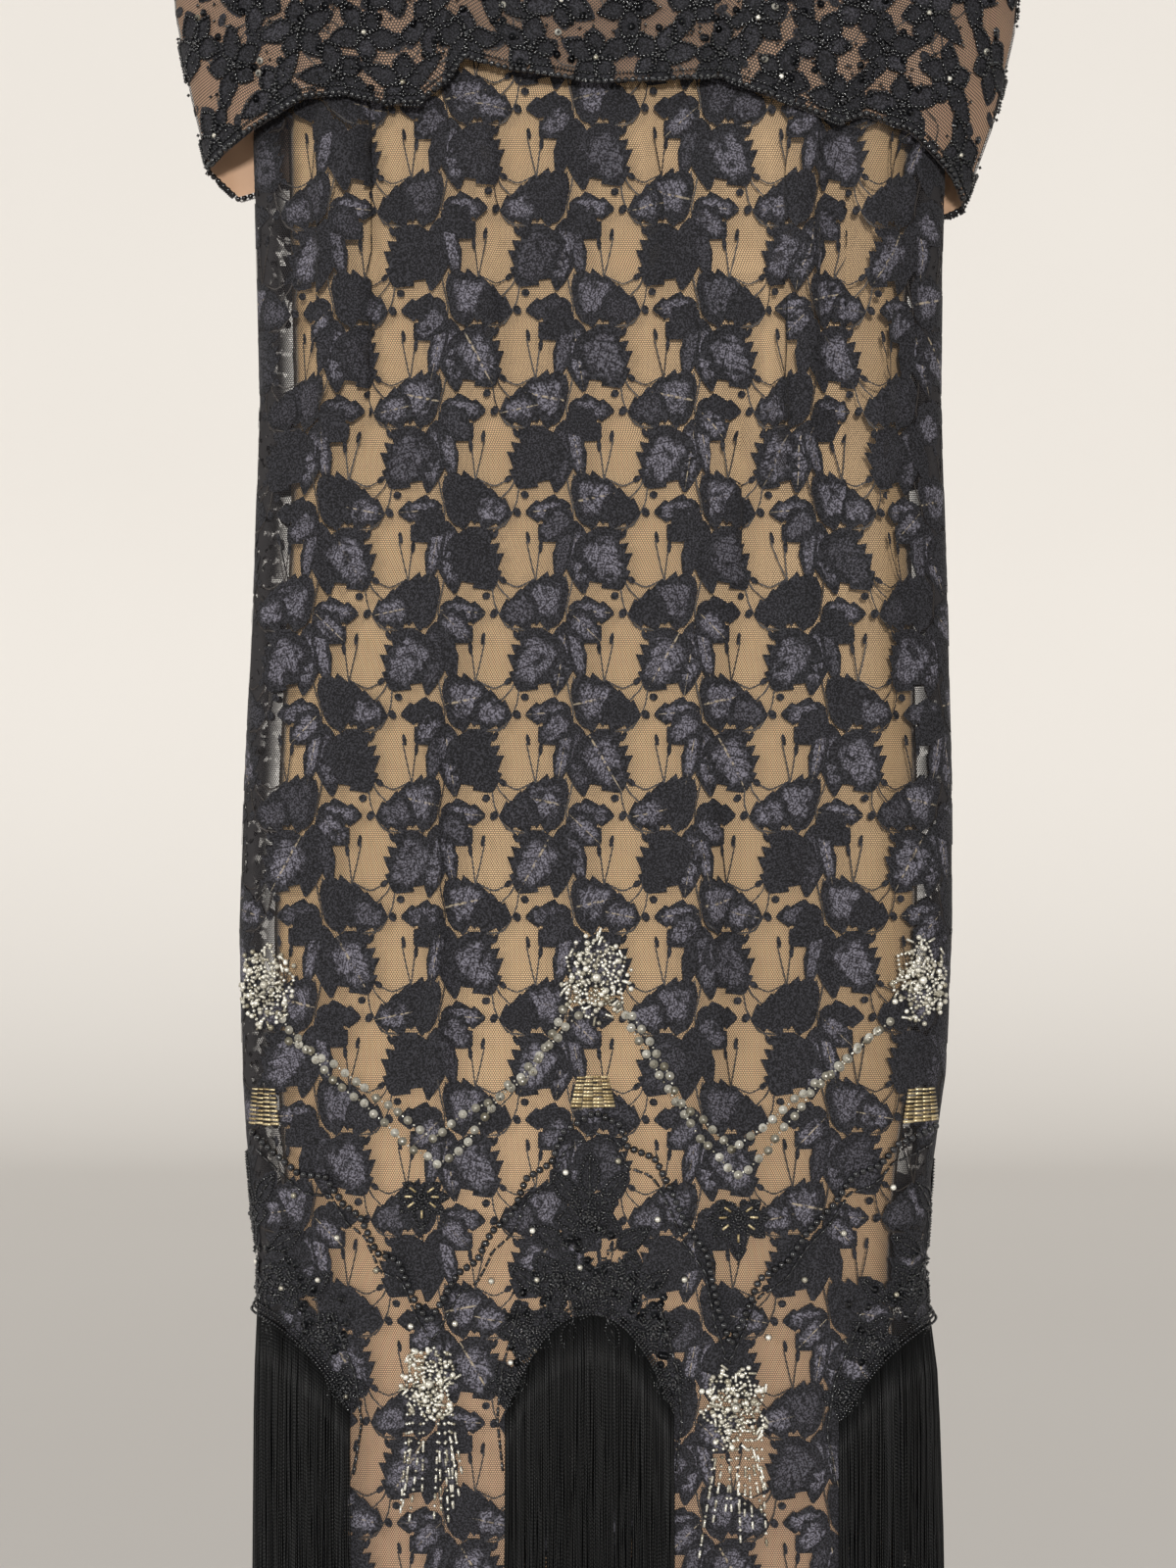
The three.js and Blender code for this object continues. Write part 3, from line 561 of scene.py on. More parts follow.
class Gather:
    """Arrays of many small shapes that become one mesh."""

    def __init__(self) -> None:
        """Start with nothing."""
        self.points: list[Array] = []
        self.faces: Faces = []
        self.marks: list[Array] = []
        self.tones: list[Array] = []
        self.slots: list[int] = []
        self.count = 0

    def add(self, points: Array, faces: Faces, marks: Array, tones: Array, slot: int = 0) -> None:
        """Add one shape, or many that share an array.

        Args:
            points: Points in metres.
            faces: Rows of point numbers within this shape.
            marks: Pairs kept as the shape's own map.
            tones: One number a point, to vary the finish.
            slot: Number of the finish on these faces.
        """
        base = self.count
        self.faces.extend([[base + number for number in face] for face in faces])
        self.points.append(points)
        self.marks.append(marks)
        self.tones.append(tones)
        self.slots.extend([slot] * len(faces))
        self.count += len(points)

    def build(self, name: str, finishes: list[bpy.types.Material]) -> bpy.types.Object:
        """Make the joined mesh and put it in the scene.

        Args:
            name: The piece's name.
            finishes: Its materials, in slot order.

        Returns:
            The new object.
        """
        mesh = bpy.data.meshes.new(name)
        mesh.from_pydata(np.concatenate(self.points).tolist(), [], self.faces)
        corners = np.zeros(len(mesh.loops), dtype=np.int32)
        mesh.loops.foreach_get("vertex_index", corners)
        layer = mesh.uv_layers.new(name="cloth")
        layer.data.foreach_set("uv", np.concatenate(self.marks)[corners].ravel())
        tone = mesh.attributes.new("tone", "FLOAT", "POINT")
        tone.data.foreach_set("value", np.concatenate(self.tones))
        mesh.polygons.foreach_set("material_index", np.array(self.slots, dtype=np.int32))
        return show(name, mesh, finishes)


def show(name: str, mesh: bpy.types.Mesh, finishes: list[bpy.types.Material]) -> bpy.types.Object:
    """Put a mesh in the scene with its finishes.

    Args:
        name: The piece's name.
        mesh: Its mesh.
        finishes: Its materials, in slot order.

    Returns:
        The new object.
    """
    mesh.polygons.foreach_set("use_smooth", np.ones(len(mesh.polygons), dtype=bool))
    for finish in finishes:
        mesh.materials.append(finish)
    mesh.update()
    piece = bpy.data.objects.new(name, mesh)
    bpy.context.scene.collection.objects.link(piece)
    return piece


def cloth_sheet(
    name: str,
    columns: int,
    rows: int,
    place: Callable[[Array, Array], Array],
    size: tuple[float, float],
    finish: bpy.types.Material,
) -> bpy.types.Object:
    """Lay a flat grid over a form.

    Args:
        name: The piece's name.
        columns: Quads across.
        rows: Quads down.
        place: Turns places across and down, 0 to 1, into points.
        size: Width and length of the cloth that its map is measured in.
        finish: Its material.

    Returns:
        The new object.
    """
    shape = bmesh.new()
    bmesh.ops.create_grid(shape, x_segments=columns, y_segments=rows, size=0.5)
    mesh = bpy.data.meshes.new(name)
    shape.to_mesh(mesh)
    shape.free()
    flat = np.zeros(len(mesh.vertices) * 3)
    mesh.vertices.foreach_get("co", flat)
    flat = flat.reshape(-1, 3)
    across = flat[:, 0] + 0.5
    down = 0.5 - flat[:, 1]
    mesh.vertices.foreach_set("co", place(across, down).ravel())
    corners = np.zeros(len(mesh.loops), dtype=np.int32)
    mesh.loops.foreach_get("vertex_index", corners)
    layer = mesh.uv_layers.new(name="cloth")
    marks = np.stack([across * size[0], -down * size[1]], axis=1)
    layer.data.foreach_set("uv", marks[corners].ravel())
    return show(name, mesh, [finish])


class Nodes:
    """A material's node tree with short ways to add and join its nodes."""

    def __init__(self, name: str) -> None:
        """Start a material with one surface shader."""
        self.material = bpy.data.materials.new(name)
        self.material.use_nodes = True
        self.tree = self.material.node_tree
        self.surface = self.tree.nodes["Principled BSDF"]

    def add(self, kind: str, **settings: object) -> bpy.types.Node:
        """Add a node of a kind and set its options."""
        node = self.tree.nodes.new(kind)
        for key, value in settings.items():
            setattr(node, key, value)
        return node

    def join(self, source: object, target: object) -> None:
        """Link an output to an input, or set the input to a constant."""
        if isinstance(source, bpy.types.NodeSocket):
            self.tree.links.new(source, target)
        else:
            target.default_value = source

    def math(self, operation: str, first: object, second: object = 0.0) -> bpy.types.NodeSocket:
        """Add one sum.

        Args:
            operation: The kind of sum.
            first: A socket or number.
            second: A socket or number.

        Returns:
            The result's socket.
        """
        node = self.add("ShaderNodeMath", operation=operation)
        self.join(first, node.inputs[0])
        self.join(second, node.inputs[1])
        return node.outputs[0]

    def vector(self, operation: str, first: object, second: object = (0.0, 0.0, 0.0)) -> bpy.types.NodeSocket:
        """Add one sum of vectors.

        Args:
            operation: The kind of sum.
            first: A socket.
            second: A socket or three numbers.

        Returns:
            The result's socket.
        """
        node = self.add("ShaderNodeVectorMath", operation=operation)
        self.join(first, node.inputs[0])
        self.join(second, node.inputs[1])
        return node.outputs["Value" if operation == "DOT_PRODUCT" else "Vector"]

    def parts(self, where: object) -> bpy.types.NodeOutputs:
        """Return the X, Y and Z of a vector, as a node's outputs."""
        node = self.add("ShaderNodeSeparateXYZ")
        self.join(where, node.inputs[0])
        return node.outputs

    def band(self, value: object, low: float, high: float) -> bpy.types.NodeSocket:
        """Return a soft step from 0 at low to 1 at high."""
        node = self.add("ShaderNodeMapRange", interpolation_type="SMOOTHSTEP")
        self.join(value, node.inputs["Value"])
        node.inputs["From Min"].default_value = low
        node.inputs["From Max"].default_value = high
        return node.outputs["Result"]

    def blend(self, share: object, low: object, high: object) -> bpy.types.NodeSocket:
        """Mix two colours.

        Args:
            share: A socket or number.
            low: The colour at 0, as a socket or three numbers.
            high: The colour at 1, as a socket or three numbers.

        Returns:
            The mixed colour's socket.
        """
        node = self.add("ShaderNodeMix", data_type="RGBA")
        self.join(share, node.inputs["Factor"])
        self.join(low if isinstance(low, bpy.types.NodeSocket) else (*low, 1.0), node.inputs[6])
        self.join(high if isinstance(high, bpy.types.NodeSocket) else (*high, 1.0), node.inputs[7])
        return node.outputs[2]

    def place(self) -> bpy.types.NodeSocket:
        """Return the object's own coordinates."""
        return self.add("ShaderNodeTexCoord").outputs["Object"]

    def map(self) -> bpy.types.NodeSocket:
        """Return the piece's own cloth map, in metres or in shares of a motif."""
        return self.add("ShaderNodeUVMap", uv_map="cloth").outputs["UV"]

    def tone(self) -> bpy.types.NodeSocket:
        """Return the number each small shape carries to vary its finish."""
        return self.add("ShaderNodeAttribute", attribute_name="tone").outputs["Fac"]

    def noise(self, where: object, scale: float, detail: float = 3.0) -> bpy.types.NodeSocket:
        """Return soft noise at a scale."""
        node = self.add("ShaderNodeTexNoise")
        self.join(where, node.inputs["Vector"])
        node.inputs["Scale"].default_value = scale
        node.inputs["Detail"].default_value = detail
        return node.outputs["Fac"]

    def bump(self, height: object, distance: float, strength: float = 0.5) -> None:
        """Roughen the surface by a height."""
        node = self.add("ShaderNodeBump")
        self.join(height, node.inputs["Height"])
        node.inputs["Distance"].default_value = distance
        node.inputs["Strength"].default_value = strength
        self.join(node.outputs["Normal"], self.surface.inputs["Normal"])

    def put(self, **values: object) -> bpy.types.Material:
        """Set the surface's inputs, with underscores for spaces, and return the material."""
        for key, value in values.items():
            self.join(value, self.surface.inputs[key.replace("_", " ")])
        return self.material


def tint(colour: Colour, factor: float) -> Colour:
    """Return a colour made lighter or darker by a factor."""
    return tuple(min(1.0, part * factor) for part in colour)


@dataclass(frozen=True)
class NetFinish:
    """Fine six-sided net of dark threads; one that has a width is dense along its seams."""

    name: str
    thread: Colour
    cell: float = 0.00150
    thread_share: float = 0.10
    width: float = 0.0
    seam: float = 0.034
    cells_away: float = 4000.0

    def make(self) -> bpy.types.Material:
        """Return the material."""
        nodes = Nodes(self.name)
        scaled = nodes.vector("MULTIPLY", nodes.map(), (1.0 / self.cell,) * 3)
        half = (0.5, math.sqrt(3.0) / 2, 0.0)
        step = (1.0, math.sqrt(3.0), 1.0)
        centres = []
        for shift in ((0.0, 0.0), half[:2]):
            away = (shift[0] + self.cells_away, shift[1] + self.cells_away * step[1], 0.0)
            held = nodes.vector("MODULO", nodes.vector("ADD", scaled, away), step)
            plain = nodes.vector("ABSOLUTE", nodes.vector("SUBTRACT", held, half))
            slant = nodes.vector("DOT_PRODUCT", plain, half)
            centres.append(nodes.math("MAXIMUM", slant, nodes.parts(plain)["X"]))
        edge = nodes.math("MINIMUM", centres[0], centres[1])
        thread = nodes.band(edge, 0.5 - self.thread_share - 0.07, 0.5 - self.thread_share + 0.05)
        cloud = nodes.noise(nodes.map(), 60.0)
        if self.width:
            half_width = self.width / 2
            across = nodes.math("SUBTRACT", nodes.parts(nodes.map())["X"], half_width)
            middle = nodes.math("ABSOLUTE", across)
            edge_band = nodes.band(middle, half_width - self.seam, half_width - self.seam * 0.55)
            dense = nodes.band(nodes.noise(nodes.map(), 170.0, 2.0), 0.66, 0.56)
            thread = nodes.math("MAXIMUM", thread, nodes.math("MULTIPLY", edge_band, dense))
        colour = nodes.blend(cloud, self.thread, tint(self.thread, 2.2))
        return nodes.put(Base_Color=colour, Alpha=thread, Roughness=0.75, Specular_IOR_Level=0.2)


@dataclass(frozen=True)
class LeafFinish:
    """Woven leaf: dense dark border, sheerer middle in a painted lilac sheen, and a pale rib."""

    name: str
    border: Colour
    middle: Colour
    rib: Colour

    def make(self) -> bpy.types.Material:
        """Return the material."""
        nodes = Nodes(self.name)
        parts = nodes.parts(nodes.map())
        across = nodes.math("ABSOLUTE", parts["X"])
        along = parts["Y"]
        place = nodes.place()
        ragged = nodes.math("MULTIPLY", nodes.math("SUBTRACT", nodes.noise(place, 320.0), 0.5), 0.7)
        rim = nodes.band(nodes.math("ADD", across, ragged), 0.42, 0.66)
        ends = nodes.math("ABSOLUTE", nodes.math("SUBTRACT", along, 0.5))
        rim = nodes.math("MAXIMUM", rim, nodes.band(ends, 0.22, 0.36))
        cover = nodes.math("MAXIMUM", rim, nodes.band(nodes.noise(place, 130.0), 0.50, 0.68))
        cover = nodes.math("MAXIMUM", cover, nodes.band(nodes.tone(), 0.40, 0.80))
        speck = nodes.band(nodes.noise(place, 900.0, 1.0), 0.38, 0.62)
        # The lilac middle is painted sheen with specks; the dark cover, set by rim, noise and the leaf's
        # tone, hides it.
        painted_sheen = nodes.blend(speck, tint(self.middle, 0.30), tint(self.middle, 1.9))
        dark = nodes.blend(speck, tint(self.border, 0.6), tint(self.border, 3.0))
        colour = nodes.blend(cover, painted_sheen, dark)
        vein = nodes.math("PINGPONG", nodes.math("ADD", along, nodes.math("MULTIPLY", across, -0.35)), 0.09)
        veins = nodes.math("MULTIPLY", nodes.band(vein, 0.020, 0.006), nodes.band(across, 0.85, 0.6))
        colour = nodes.blend(nodes.math("MULTIPLY", veins, 0.75), colour, self.border)
        rib = nodes.math("MULTIPLY", nodes.band(across, 0.06, 0.02), nodes.band(nodes.tone(), 0.35, 0.2))
        rib = nodes.math("MULTIPLY", rib, nodes.band(nodes.noise(place, 420.0), 0.45, 0.60))
        colour = nodes.blend(nodes.math("MULTIPLY", rib, 0.7), colour, self.rib)
        nodes.bump(speck, 0.0003, 0.8)
        return nodes.put(Base_Color=colour, Roughness=0.75, Specular_IOR_Level=0.15, Sheen_Weight=0.05)


@dataclass(frozen=True)
class SatinFinish:
    """Smooth lining cloth with a fine weave and slow changes of colour."""

    name: str
    light: Colour
    dark: Colour
    low: Colour

    def make(self) -> bpy.types.Material:
        """Return the material."""
        nodes = Nodes(self.name)
        place = nodes.place()
        colour = nodes.blend(nodes.noise(place, 9.0), self.dark, self.light)
        colour = nodes.blend(nodes.band(nodes.parts(place)["Z"], -0.85, -1.30), colour, self.low)
        weave = nodes.add("ShaderNodeTexWave", wave_type="BANDS", bands_direction="X")
        nodes.join(place, weave.inputs["Vector"])
        weave.inputs["Scale"].default_value = 900.0
        nodes.bump(weave.outputs["Fac"], 0.0001, 0.3)
        return nodes.put(Base_Color=colour, Roughness=0.5, Specular_IOR_Level=0.35, Sheen_Weight=0.2)


@dataclass(frozen=True)
class GlassFinish:
    """Bead finish: two colours that the beads vary between, and how shiny they are."""

    name: str
    dark: Colour
    light: Colour
    rough: float
    metal: float = 0.0

    def make(self) -> bpy.types.Material:
        """Return the material."""
        nodes = Nodes(self.name)
        cloud = nodes.noise(nodes.place(), 700.0, 1.0)
        share = nodes.math("MULTIPLY", nodes.tone(), nodes.math("ADD", cloud, 0.5))
        colour = nodes.blend(share, self.dark, self.light)
        nodes.put(Coat_Weight=0.35, Coat_Roughness=0.08)
        return nodes.put(Base_Color=colour, Roughness=self.rough, Metallic=self.metal)


@dataclass(frozen=True)
class CordFinish:
    """Twisted cord or thread: fine slanting twist lines along each strand, with bands of painted sheen on
    them.
    """

    name: str
    dark: Colour
    light: Colour

    def make(self) -> bpy.types.Material:
        """Return the material."""
        nodes = Nodes(self.name)
        twist_and_sheen = nodes.add("ShaderNodeTexWave", wave_type="BANDS", bands_direction="DIAGONAL")
        nodes.join(nodes.place(), twist_and_sheen.inputs["Vector"])
        twist_and_sheen.inputs["Scale"].default_value = 260.0
        twist_and_sheen.inputs["Distortion"].default_value = 1.0
        # The light colour on the twist lines is painted sheen; the tone sets how strongly each strand shows
        # it.
        share = nodes.math("MULTIPLY", twist_and_sheen.outputs["Fac"], nodes.tone())
        nodes.bump(twist_and_sheen.outputs["Fac"], 0.0002, 0.5)
        colour = nodes.blend(share, self.dark, self.light)
        return nodes.put(Base_Color=colour, Roughness=0.45, Specular_IOR_Level=0.25)


@dataclass(frozen=True)
class WoodFinish:
    """Varnished wood with long grain."""

    name: str
    light: Colour
    dark: Colour

    def make(self) -> bpy.types.Material:
        """Return the material."""
        nodes = Nodes(self.name)
        stretch = nodes.add("ShaderNodeMapping")
        nodes.join(nodes.place(), stretch.inputs["Vector"])
        stretch.inputs["Scale"].default_value = (6.0, 90.0, 90.0)
        grain = nodes.band(nodes.noise(stretch.outputs[0], 1.6, 6.0), 0.35, 0.65)
        nodes.bump(grain, 0.0002, 0.3)
        colour = nodes.blend(grain, self.dark, self.light)
        return nodes.put(Base_Color=colour, Roughness=0.42, Coat_Weight=0.3)


@dataclass(frozen=True)
class SteelFinish:
    """Plated wire with faint drawn lines."""

    name: str
    colour: Colour

    def make(self) -> bpy.types.Material:
        """Return the material."""
        nodes = Nodes(self.name)
        cloud = nodes.noise(nodes.place(), 240.0)
        colour = nodes.blend(cloud, tint(self.colour, 0.8), self.colour)
        rough = nodes.math("ADD", nodes.math("MULTIPLY", cloud, 0.2), 0.12)
        return nodes.put(Base_Color=colour, Roughness=rough, Metallic=1.0)


@dataclass(frozen=True)
class Finishes:
    """Every finish of the dress and its hanger, made once."""

    net: bpy.types.Material
    leaf: bpy.types.Material
    vine: bpy.types.Material
    slip: bpy.types.Material
    yoke_slip: bpy.types.Material
    yoke_net: bpy.types.Material
    jet: bpy.types.Material
    clear: bpy.types.Material
    champagne: bpy.types.Material
    fringe: bpy.types.Material
    wood: bpy.types.Material
    steel: bpy.types.Material

    @staticmethod
    def make() -> "Finishes":
        """Return the set."""
        black = (0.0105, 0.0105, 0.0125)
        return Finishes(
            net=NetFinish("net", (0.016, 0.015, 0.016), width=NET_WIDTH).make(),
            # The leaf's middle colour is its painted lilac sheen.
            leaf=LeafFinish("leaf", black, (0.088, 0.085, 0.104), (0.42, 0.35, 0.25)).make(),
            # The vine's light colour is painted sheen on its twist.
            vine=CordFinish("vine", (0.020, 0.017, 0.016), (0.05, 0.042, 0.038)).make(),
            slip=SatinFinish("slip", (0.90, 0.625, 0.345), (0.78, 0.52, 0.28), (0.72, 0.465, 0.29)).make(),
            yoke_slip=SatinFinish(
                "yoke_slip", (0.66, 0.42, 0.27), (0.55, 0.34, 0.215), (0.5, 0.31, 0.2)
            ).make(),
            yoke_net=NetFinish("yoke_net", (0.022, 0.020, 0.020), thread_share=0.14).make(),
            jet=GlassFinish("jet", (0.004, 0.004, 0.005), (0.018, 0.019, 0.022), 0.12).make(),
            clear=GlassFinish("clear", (0.26, 0.235, 0.17), (0.93, 0.91, 0.82), 0.14, 0.4).make(),
            champagne=GlassFinish("champagne", (0.30, 0.22, 0.10), (0.72, 0.60, 0.36), 0.22, 0.5).make(),
            # The fringe's light colour is painted sheen on its twist.
            fringe=CordFinish("fringe", (0.001, 0.0012, 0.0013), (0.012, 0.013, 0.014)).make(),
            wood=WoodFinish("wood", (0.44, 0.27, 0.13), (0.24, 0.13, 0.055)).make(),
            steel=SteelFinish("steel", (0.62, 0.62, 0.64)).make(),
        )


def ways(angle: Array) -> Array:
    """Return flat ways of unit length at angles, one a row."""
    return np.stack([np.cos(angle), np.sin(angle)], axis=1)


def facing(faces: Faces, turned: bool) -> Faces:
    """Return the faces, the other way round where they are turned."""
    return [face[::-1] for face in faces] if turned else faces


def declare(piece: bpy.types.Object, node: str = "") -> None:
    """Tell the frame where a finished piece belongs and report it.

    Args:
        piece: The finished piece.
        node: The node it stands in for, or nothing.
    """
    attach(piece, "root")
    if node:
        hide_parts(node)
    LOG.info("%s: %d faces", piece.name, len(piece.data.polygons))


class Lobe(NamedTuple):
    """One lobe of a woven leaf: base, way it points in degrees, sizes and teeth a side."""

    x: float
    z: float
    turn: float
    length: float
    width: float
    teeth: int = 3
    bite: float = 0.28
    full: float = 0.85


class Dot(NamedTuple):
    """A small woven bud: centre, sizes and lean in degrees."""

    x: float
    z: float
    length: float
    width: float
    turn: float


@dataclass(frozen=True)
class Sprig:
    """One repeat of the lace: lobes that make its leaves, thin stems and buds, in metres."""

    lobes: tuple[Lobe, ...]
    stems: tuple[Path, ...]
    dots: tuple[Dot, ...]
    stem_width: float = 0.0009
    leaf_ends: tuple[float, float] = (0.02, 0.985)
    leaf_bulge: float = 0.62
    column_power: float = 0.8
    teeth_from: float = 0.22
    leaf_lift: float = 0.00035
    leaf_layer: float = 0.00006
    stem_lift: float = 0.00028
    dot_lift: float = 0.0003

    def lobe_flat(self, lobe: Lobe) -> tuple[Array, Faces, Array]:
        """Draw one lobe as a small grid.

        Args:
            lobe: The lobe.

        Returns:
            Flat points, faces and marks across -1 to 1 and along 0 to 1.
        """
        rows = 3 * lobe.teeth + 3
        shape = bmesh.new()
        bmesh.ops.create_grid(shape, x_segments=4, y_segments=rows, size=1.0)
        grid = np.array([vertex.co[:2] for vertex in shape.verts])
        faces = [[vertex.index for vertex in face.verts] for face in shape.faces]
        shape.free()
        side = grid[:, 0]
        side = np.sign(side) * np.abs(side) ** self.column_power
        along = mix(*self.leaf_ends, (grid[:, 1] + 1) / 2)
        wide = lobe.width / 2 * np.sin(math.pi * along ** lobe.full) ** self.leaf_bulge
        saw = np.mod(along * lobe.teeth, 1.0)
        toothed = (np.abs(side) > 0.9) * (along > self.teeth_from)
        wide = wide * (1.0 + lobe.bite * (0.5 - saw) * toothed)
        turn = math.radians(lobe.turn)
        way = np.array([math.cos(turn), math.sin(turn)])
        right = np.array([way[1], -way[0]])
        base = np.array([lobe.x, lobe.z])
        points = base + np.outer(along * lobe.length, way) + np.outer(side * wide, right)
        return points, faces, np.stack([side, along], axis=1)

    def stem_flat(self, path: Path) -> tuple[Array, Faces, Array]:
        """Draw one stem as a narrow ribbon.

        Args:
            path: Its corners, eased into a curve.

        Returns:
            Flat points, faces and marks.
        """
        corners = np.array(path)
        knots = np.linspace(0.0, 1.0, len(corners))
        fine = np.linspace(0.0, 1.0, 4 * (len(corners) - 1) + 1)
        line = np.stack([np.interp(fine, knots, corners[:, n]) for n in range(2)], axis=1)
        line[1:-1] = (line[:-2] + 2 * line[1:-1] + line[2:]) / 4
        way = np.gradient(line, axis=0)
        way = way / np.linalg.norm(way, axis=1, keepdims=True)
        right = np.stack([way[:, 1], -way[:, 0]], axis=1) * self.stem_width / 2
        points = np.concatenate([line - right, line + right])
        count = len(line)
        faces = [[n, n + count, n + count + 1, n + 1] for n in range(count - 1)]
        return points, faces, np.zeros((len(points), 2))

    def dot_flat(self, dot: Dot) -> tuple[Array, Faces, Array]:
        """Draw one bud as an eight-sided spot and return its points, face and marks."""
        angle = np.arange(8) * math.pi / 4
        turn = math.radians(dot.turn)
        long_way = np.array([math.cos(turn), math.sin(turn)]) * dot.length / 2
        wide_way = np.array([-math.sin(turn), math.cos(turn)]) * dot.width / 2
        centre = np.array([dot.x, dot.z])
        points = centre + np.outer(np.cos(angle), long_way) + np.outer(np.sin(angle), wide_way)
        return points, [list(range(8))], np.tile([0.9, 0.5], (8, 1))

    def flat(self, chance: np.random.Generator) -> list[tuple[Array, Faces, Array, Array, float, int]]:
        """Draw the whole repeat.

        Args:
            chance: Seeded numbers that vary the leaves' tone, which sets how much painted sheen and pale rib
                each leaf shows.

        Returns:
            Points, faces, marks, tones, lift and finish slot of each piece.
        """
        drawn = []
        for number, lobe in enumerate(self.lobes):
            points, faces, marks = self.lobe_flat(lobe)
            tone = np.full(len(points), chance.random())
            lift = self.leaf_lift + self.leaf_layer * (number % 5)
            drawn.append((points, faces, marks, tone, lift, 0))
        for path in self.stems:
            points, faces, marks = self.stem_flat(path)
            drawn.append((points, faces, marks, np.full(len(points), 0.5), self.stem_lift, 1))
        for dot in self.dots:
            points, faces, marks = self.dot_flat(dot)
            drawn.append((points, faces, marks, np.full(len(points), 0.9), self.dot_lift, 0))
        return drawn


LACE_SPRIG = Sprig(
    lobes=(
        Lobe(0.001, 0.002, 168, 0.031, 0.035, 4, 0.35, 0.60),
        Lobe(-0.017, 0.000, 192, 0.026, 0.023, 3, 0.50, 0.78),
        Lobe(-0.009, -0.016, 240, 0.043, 0.034, 5, 0.50, 0.66),
        Lobe(0.001, -0.002, -4, 0.030, 0.017, 3, 0.45, 0.85),
        Lobe(0.002, -0.003, -44, 0.028, 0.019, 3, 0.45, 0.80),
        Lobe(0.001, -0.009, 261, 0.048, 0.018, 2, 0.25, 0.80),
        Lobe(0.003, -0.009, 281, 0.041, 0.012, 2, 0.25, 0.75),
    ),
    stems=(
        ((0.005, 0.022), (0.003, 0.010), (0.000, -0.002), (0.002, -0.012)),
        ((0.005, -0.044), (0.004, -0.054), (0.006, -0.064)),
        ((-0.001, -0.004), (-0.008, -0.012), (-0.022, -0.015), (-0.038, -0.013), (-0.041, -0.004)),
        ((0.034, 0.018), (0.036, 0.002), (0.042, -0.010), (0.050, -0.016)),
        ((0.020, -0.014), (0.022, -0.030), (0.024, -0.046), (0.024, -0.058)),
        ((0.030, -0.022), (0.027, -0.036), (0.024, -0.048)),
        ((0.024, -0.046), (0.036, -0.052), (0.044, -0.048)),
        ((-0.030, -0.040), (-0.034, -0.052), (-0.042, -0.060)),
    ),
    dots=(
        Dot(0.031, 0.007, 0.0055, 0.0050, 20),
        Dot(0.036, -0.004, 0.0065, 0.0050, 60),
        Dot(0.029, -0.020, 0.0080, 0.0028, 80),
        Dot(0.021, -0.026, 0.0085, 0.0030, 95),
        Dot(0.045, -0.047, 0.0060, 0.0040, 40),
        Dot(-0.043, -0.060, 0.0050, 0.0040, 0),
        Dot(0.050, -0.018, 0.0070, 0.0035, 120),
    ),
)


@dataclass
class Lace:
    """The sheer lace body: net shells with woven sprigs laid on them."""

    form: BodyForm
    finishes: Finishes
    columns: int = 110
    rows: int = 140
    pitch_across: float = 0.0815
    pitch_down: float = 0.064
    first: tuple[float, float] = (-0.019, -0.557)
    sprig_rows: tuple[int, int] = (-4, 15)
    sprig_columns: tuple[int, int] = (-3, 5)
    mirror_shift: float = 0.005

    def shell(self, side: Side) -> None:
        """Build one panel's net.

        Args:
            side: The half of the dress.
        """
        grid = self.form.grids[side]
        length = self.form.top - self.form.hem

        def place(across: Array, down: Array) -> Array:
            """Turn shares of the panel into points."""
            share = across if side is Side.FRONT else 1.0 - across
            row = down * (self.form.rows - 1)
            return grid.sample(row, share, np.zeros(len(row)))

        name = side.name.lower()
        size = (NET_WIDTH, length)
        piece = cloth_sheet(f"lace_net_{name}", self.columns, self.rows, place, size, self.finishes.net)
        declare(piece, f"lace_{name}")

    def sprigs(self, side: Side) -> None:
        """Lay the woven sprigs of one panel, cut off at its seams.

        Args:
            side: The half of the dress.
        """
        chance = np.random.default_rng(SEED + int(side.value))
        grid = self.form.grids[side]
        heights = np.linspace(self.form.top, self.form.hem, self.form.rows)
        gathered = Gather()
        for row in range(*self.sprig_rows):
            mirrored = row % 2 == 1
            height = self.first[1] - row * self.pitch_down
            for column in range(*self.sprig_columns):
                across = self.first[0] + column * self.pitch_across + self.mirror_shift * mirrored
                for points, faces, marks, tones, lift, slot in LACE_SPRIG.flat(chance):
                    flat = points * (-1.0 if mirrored else 1.0, 1.0) + (across, height)
                    faces = facing(faces, mirrored != (side is Side.BACK))
                    z = np.clip(flat[:, 1], self.form.hem, self.form.top)
                    low = np.interp(-z, -heights, grid.low)
                    high = np.interp(-z, -heights, grid.high)
                    gone = (flat[:, 0] < low) | (flat[:, 0] > high) | (flat[:, 1] != z)
                    kept = [face for face in faces if not gone[face].all()]
                    if kept:
                        arc = np.clip(flat[:, 0], low, high)
                        gathered.add(self.form.place(side, arc, z, lift), kept, marks, tones, slot)
        piece = gathered.build(f"lace_sprigs_{side.name.lower()}", [self.finishes.leaf, self.finishes.vine])
        prune(piece)
        declare(piece)

    def build(self) -> None:
        """Build both panels."""
        for side in Side:
            self.shell(side)
            self.sprigs(side)


def prune(piece: bpy.types.Object) -> None:
    """Take out loose points and faces that a cut left without area."""
    shape = bmesh.new()
    shape.from_mesh(piece.data)
    flat = [face for face in shape.faces if face.calc_area() < NO_AREA]
    bmesh.ops.delete(shape, geom=flat, context="FACES")
    loose = [vertex for vertex in shape.verts if not vertex.link_faces]
    bmesh.ops.delete(shape, geom=loose, context="VERTS")
    shape.to_mesh(piece.data)
    shape.free()


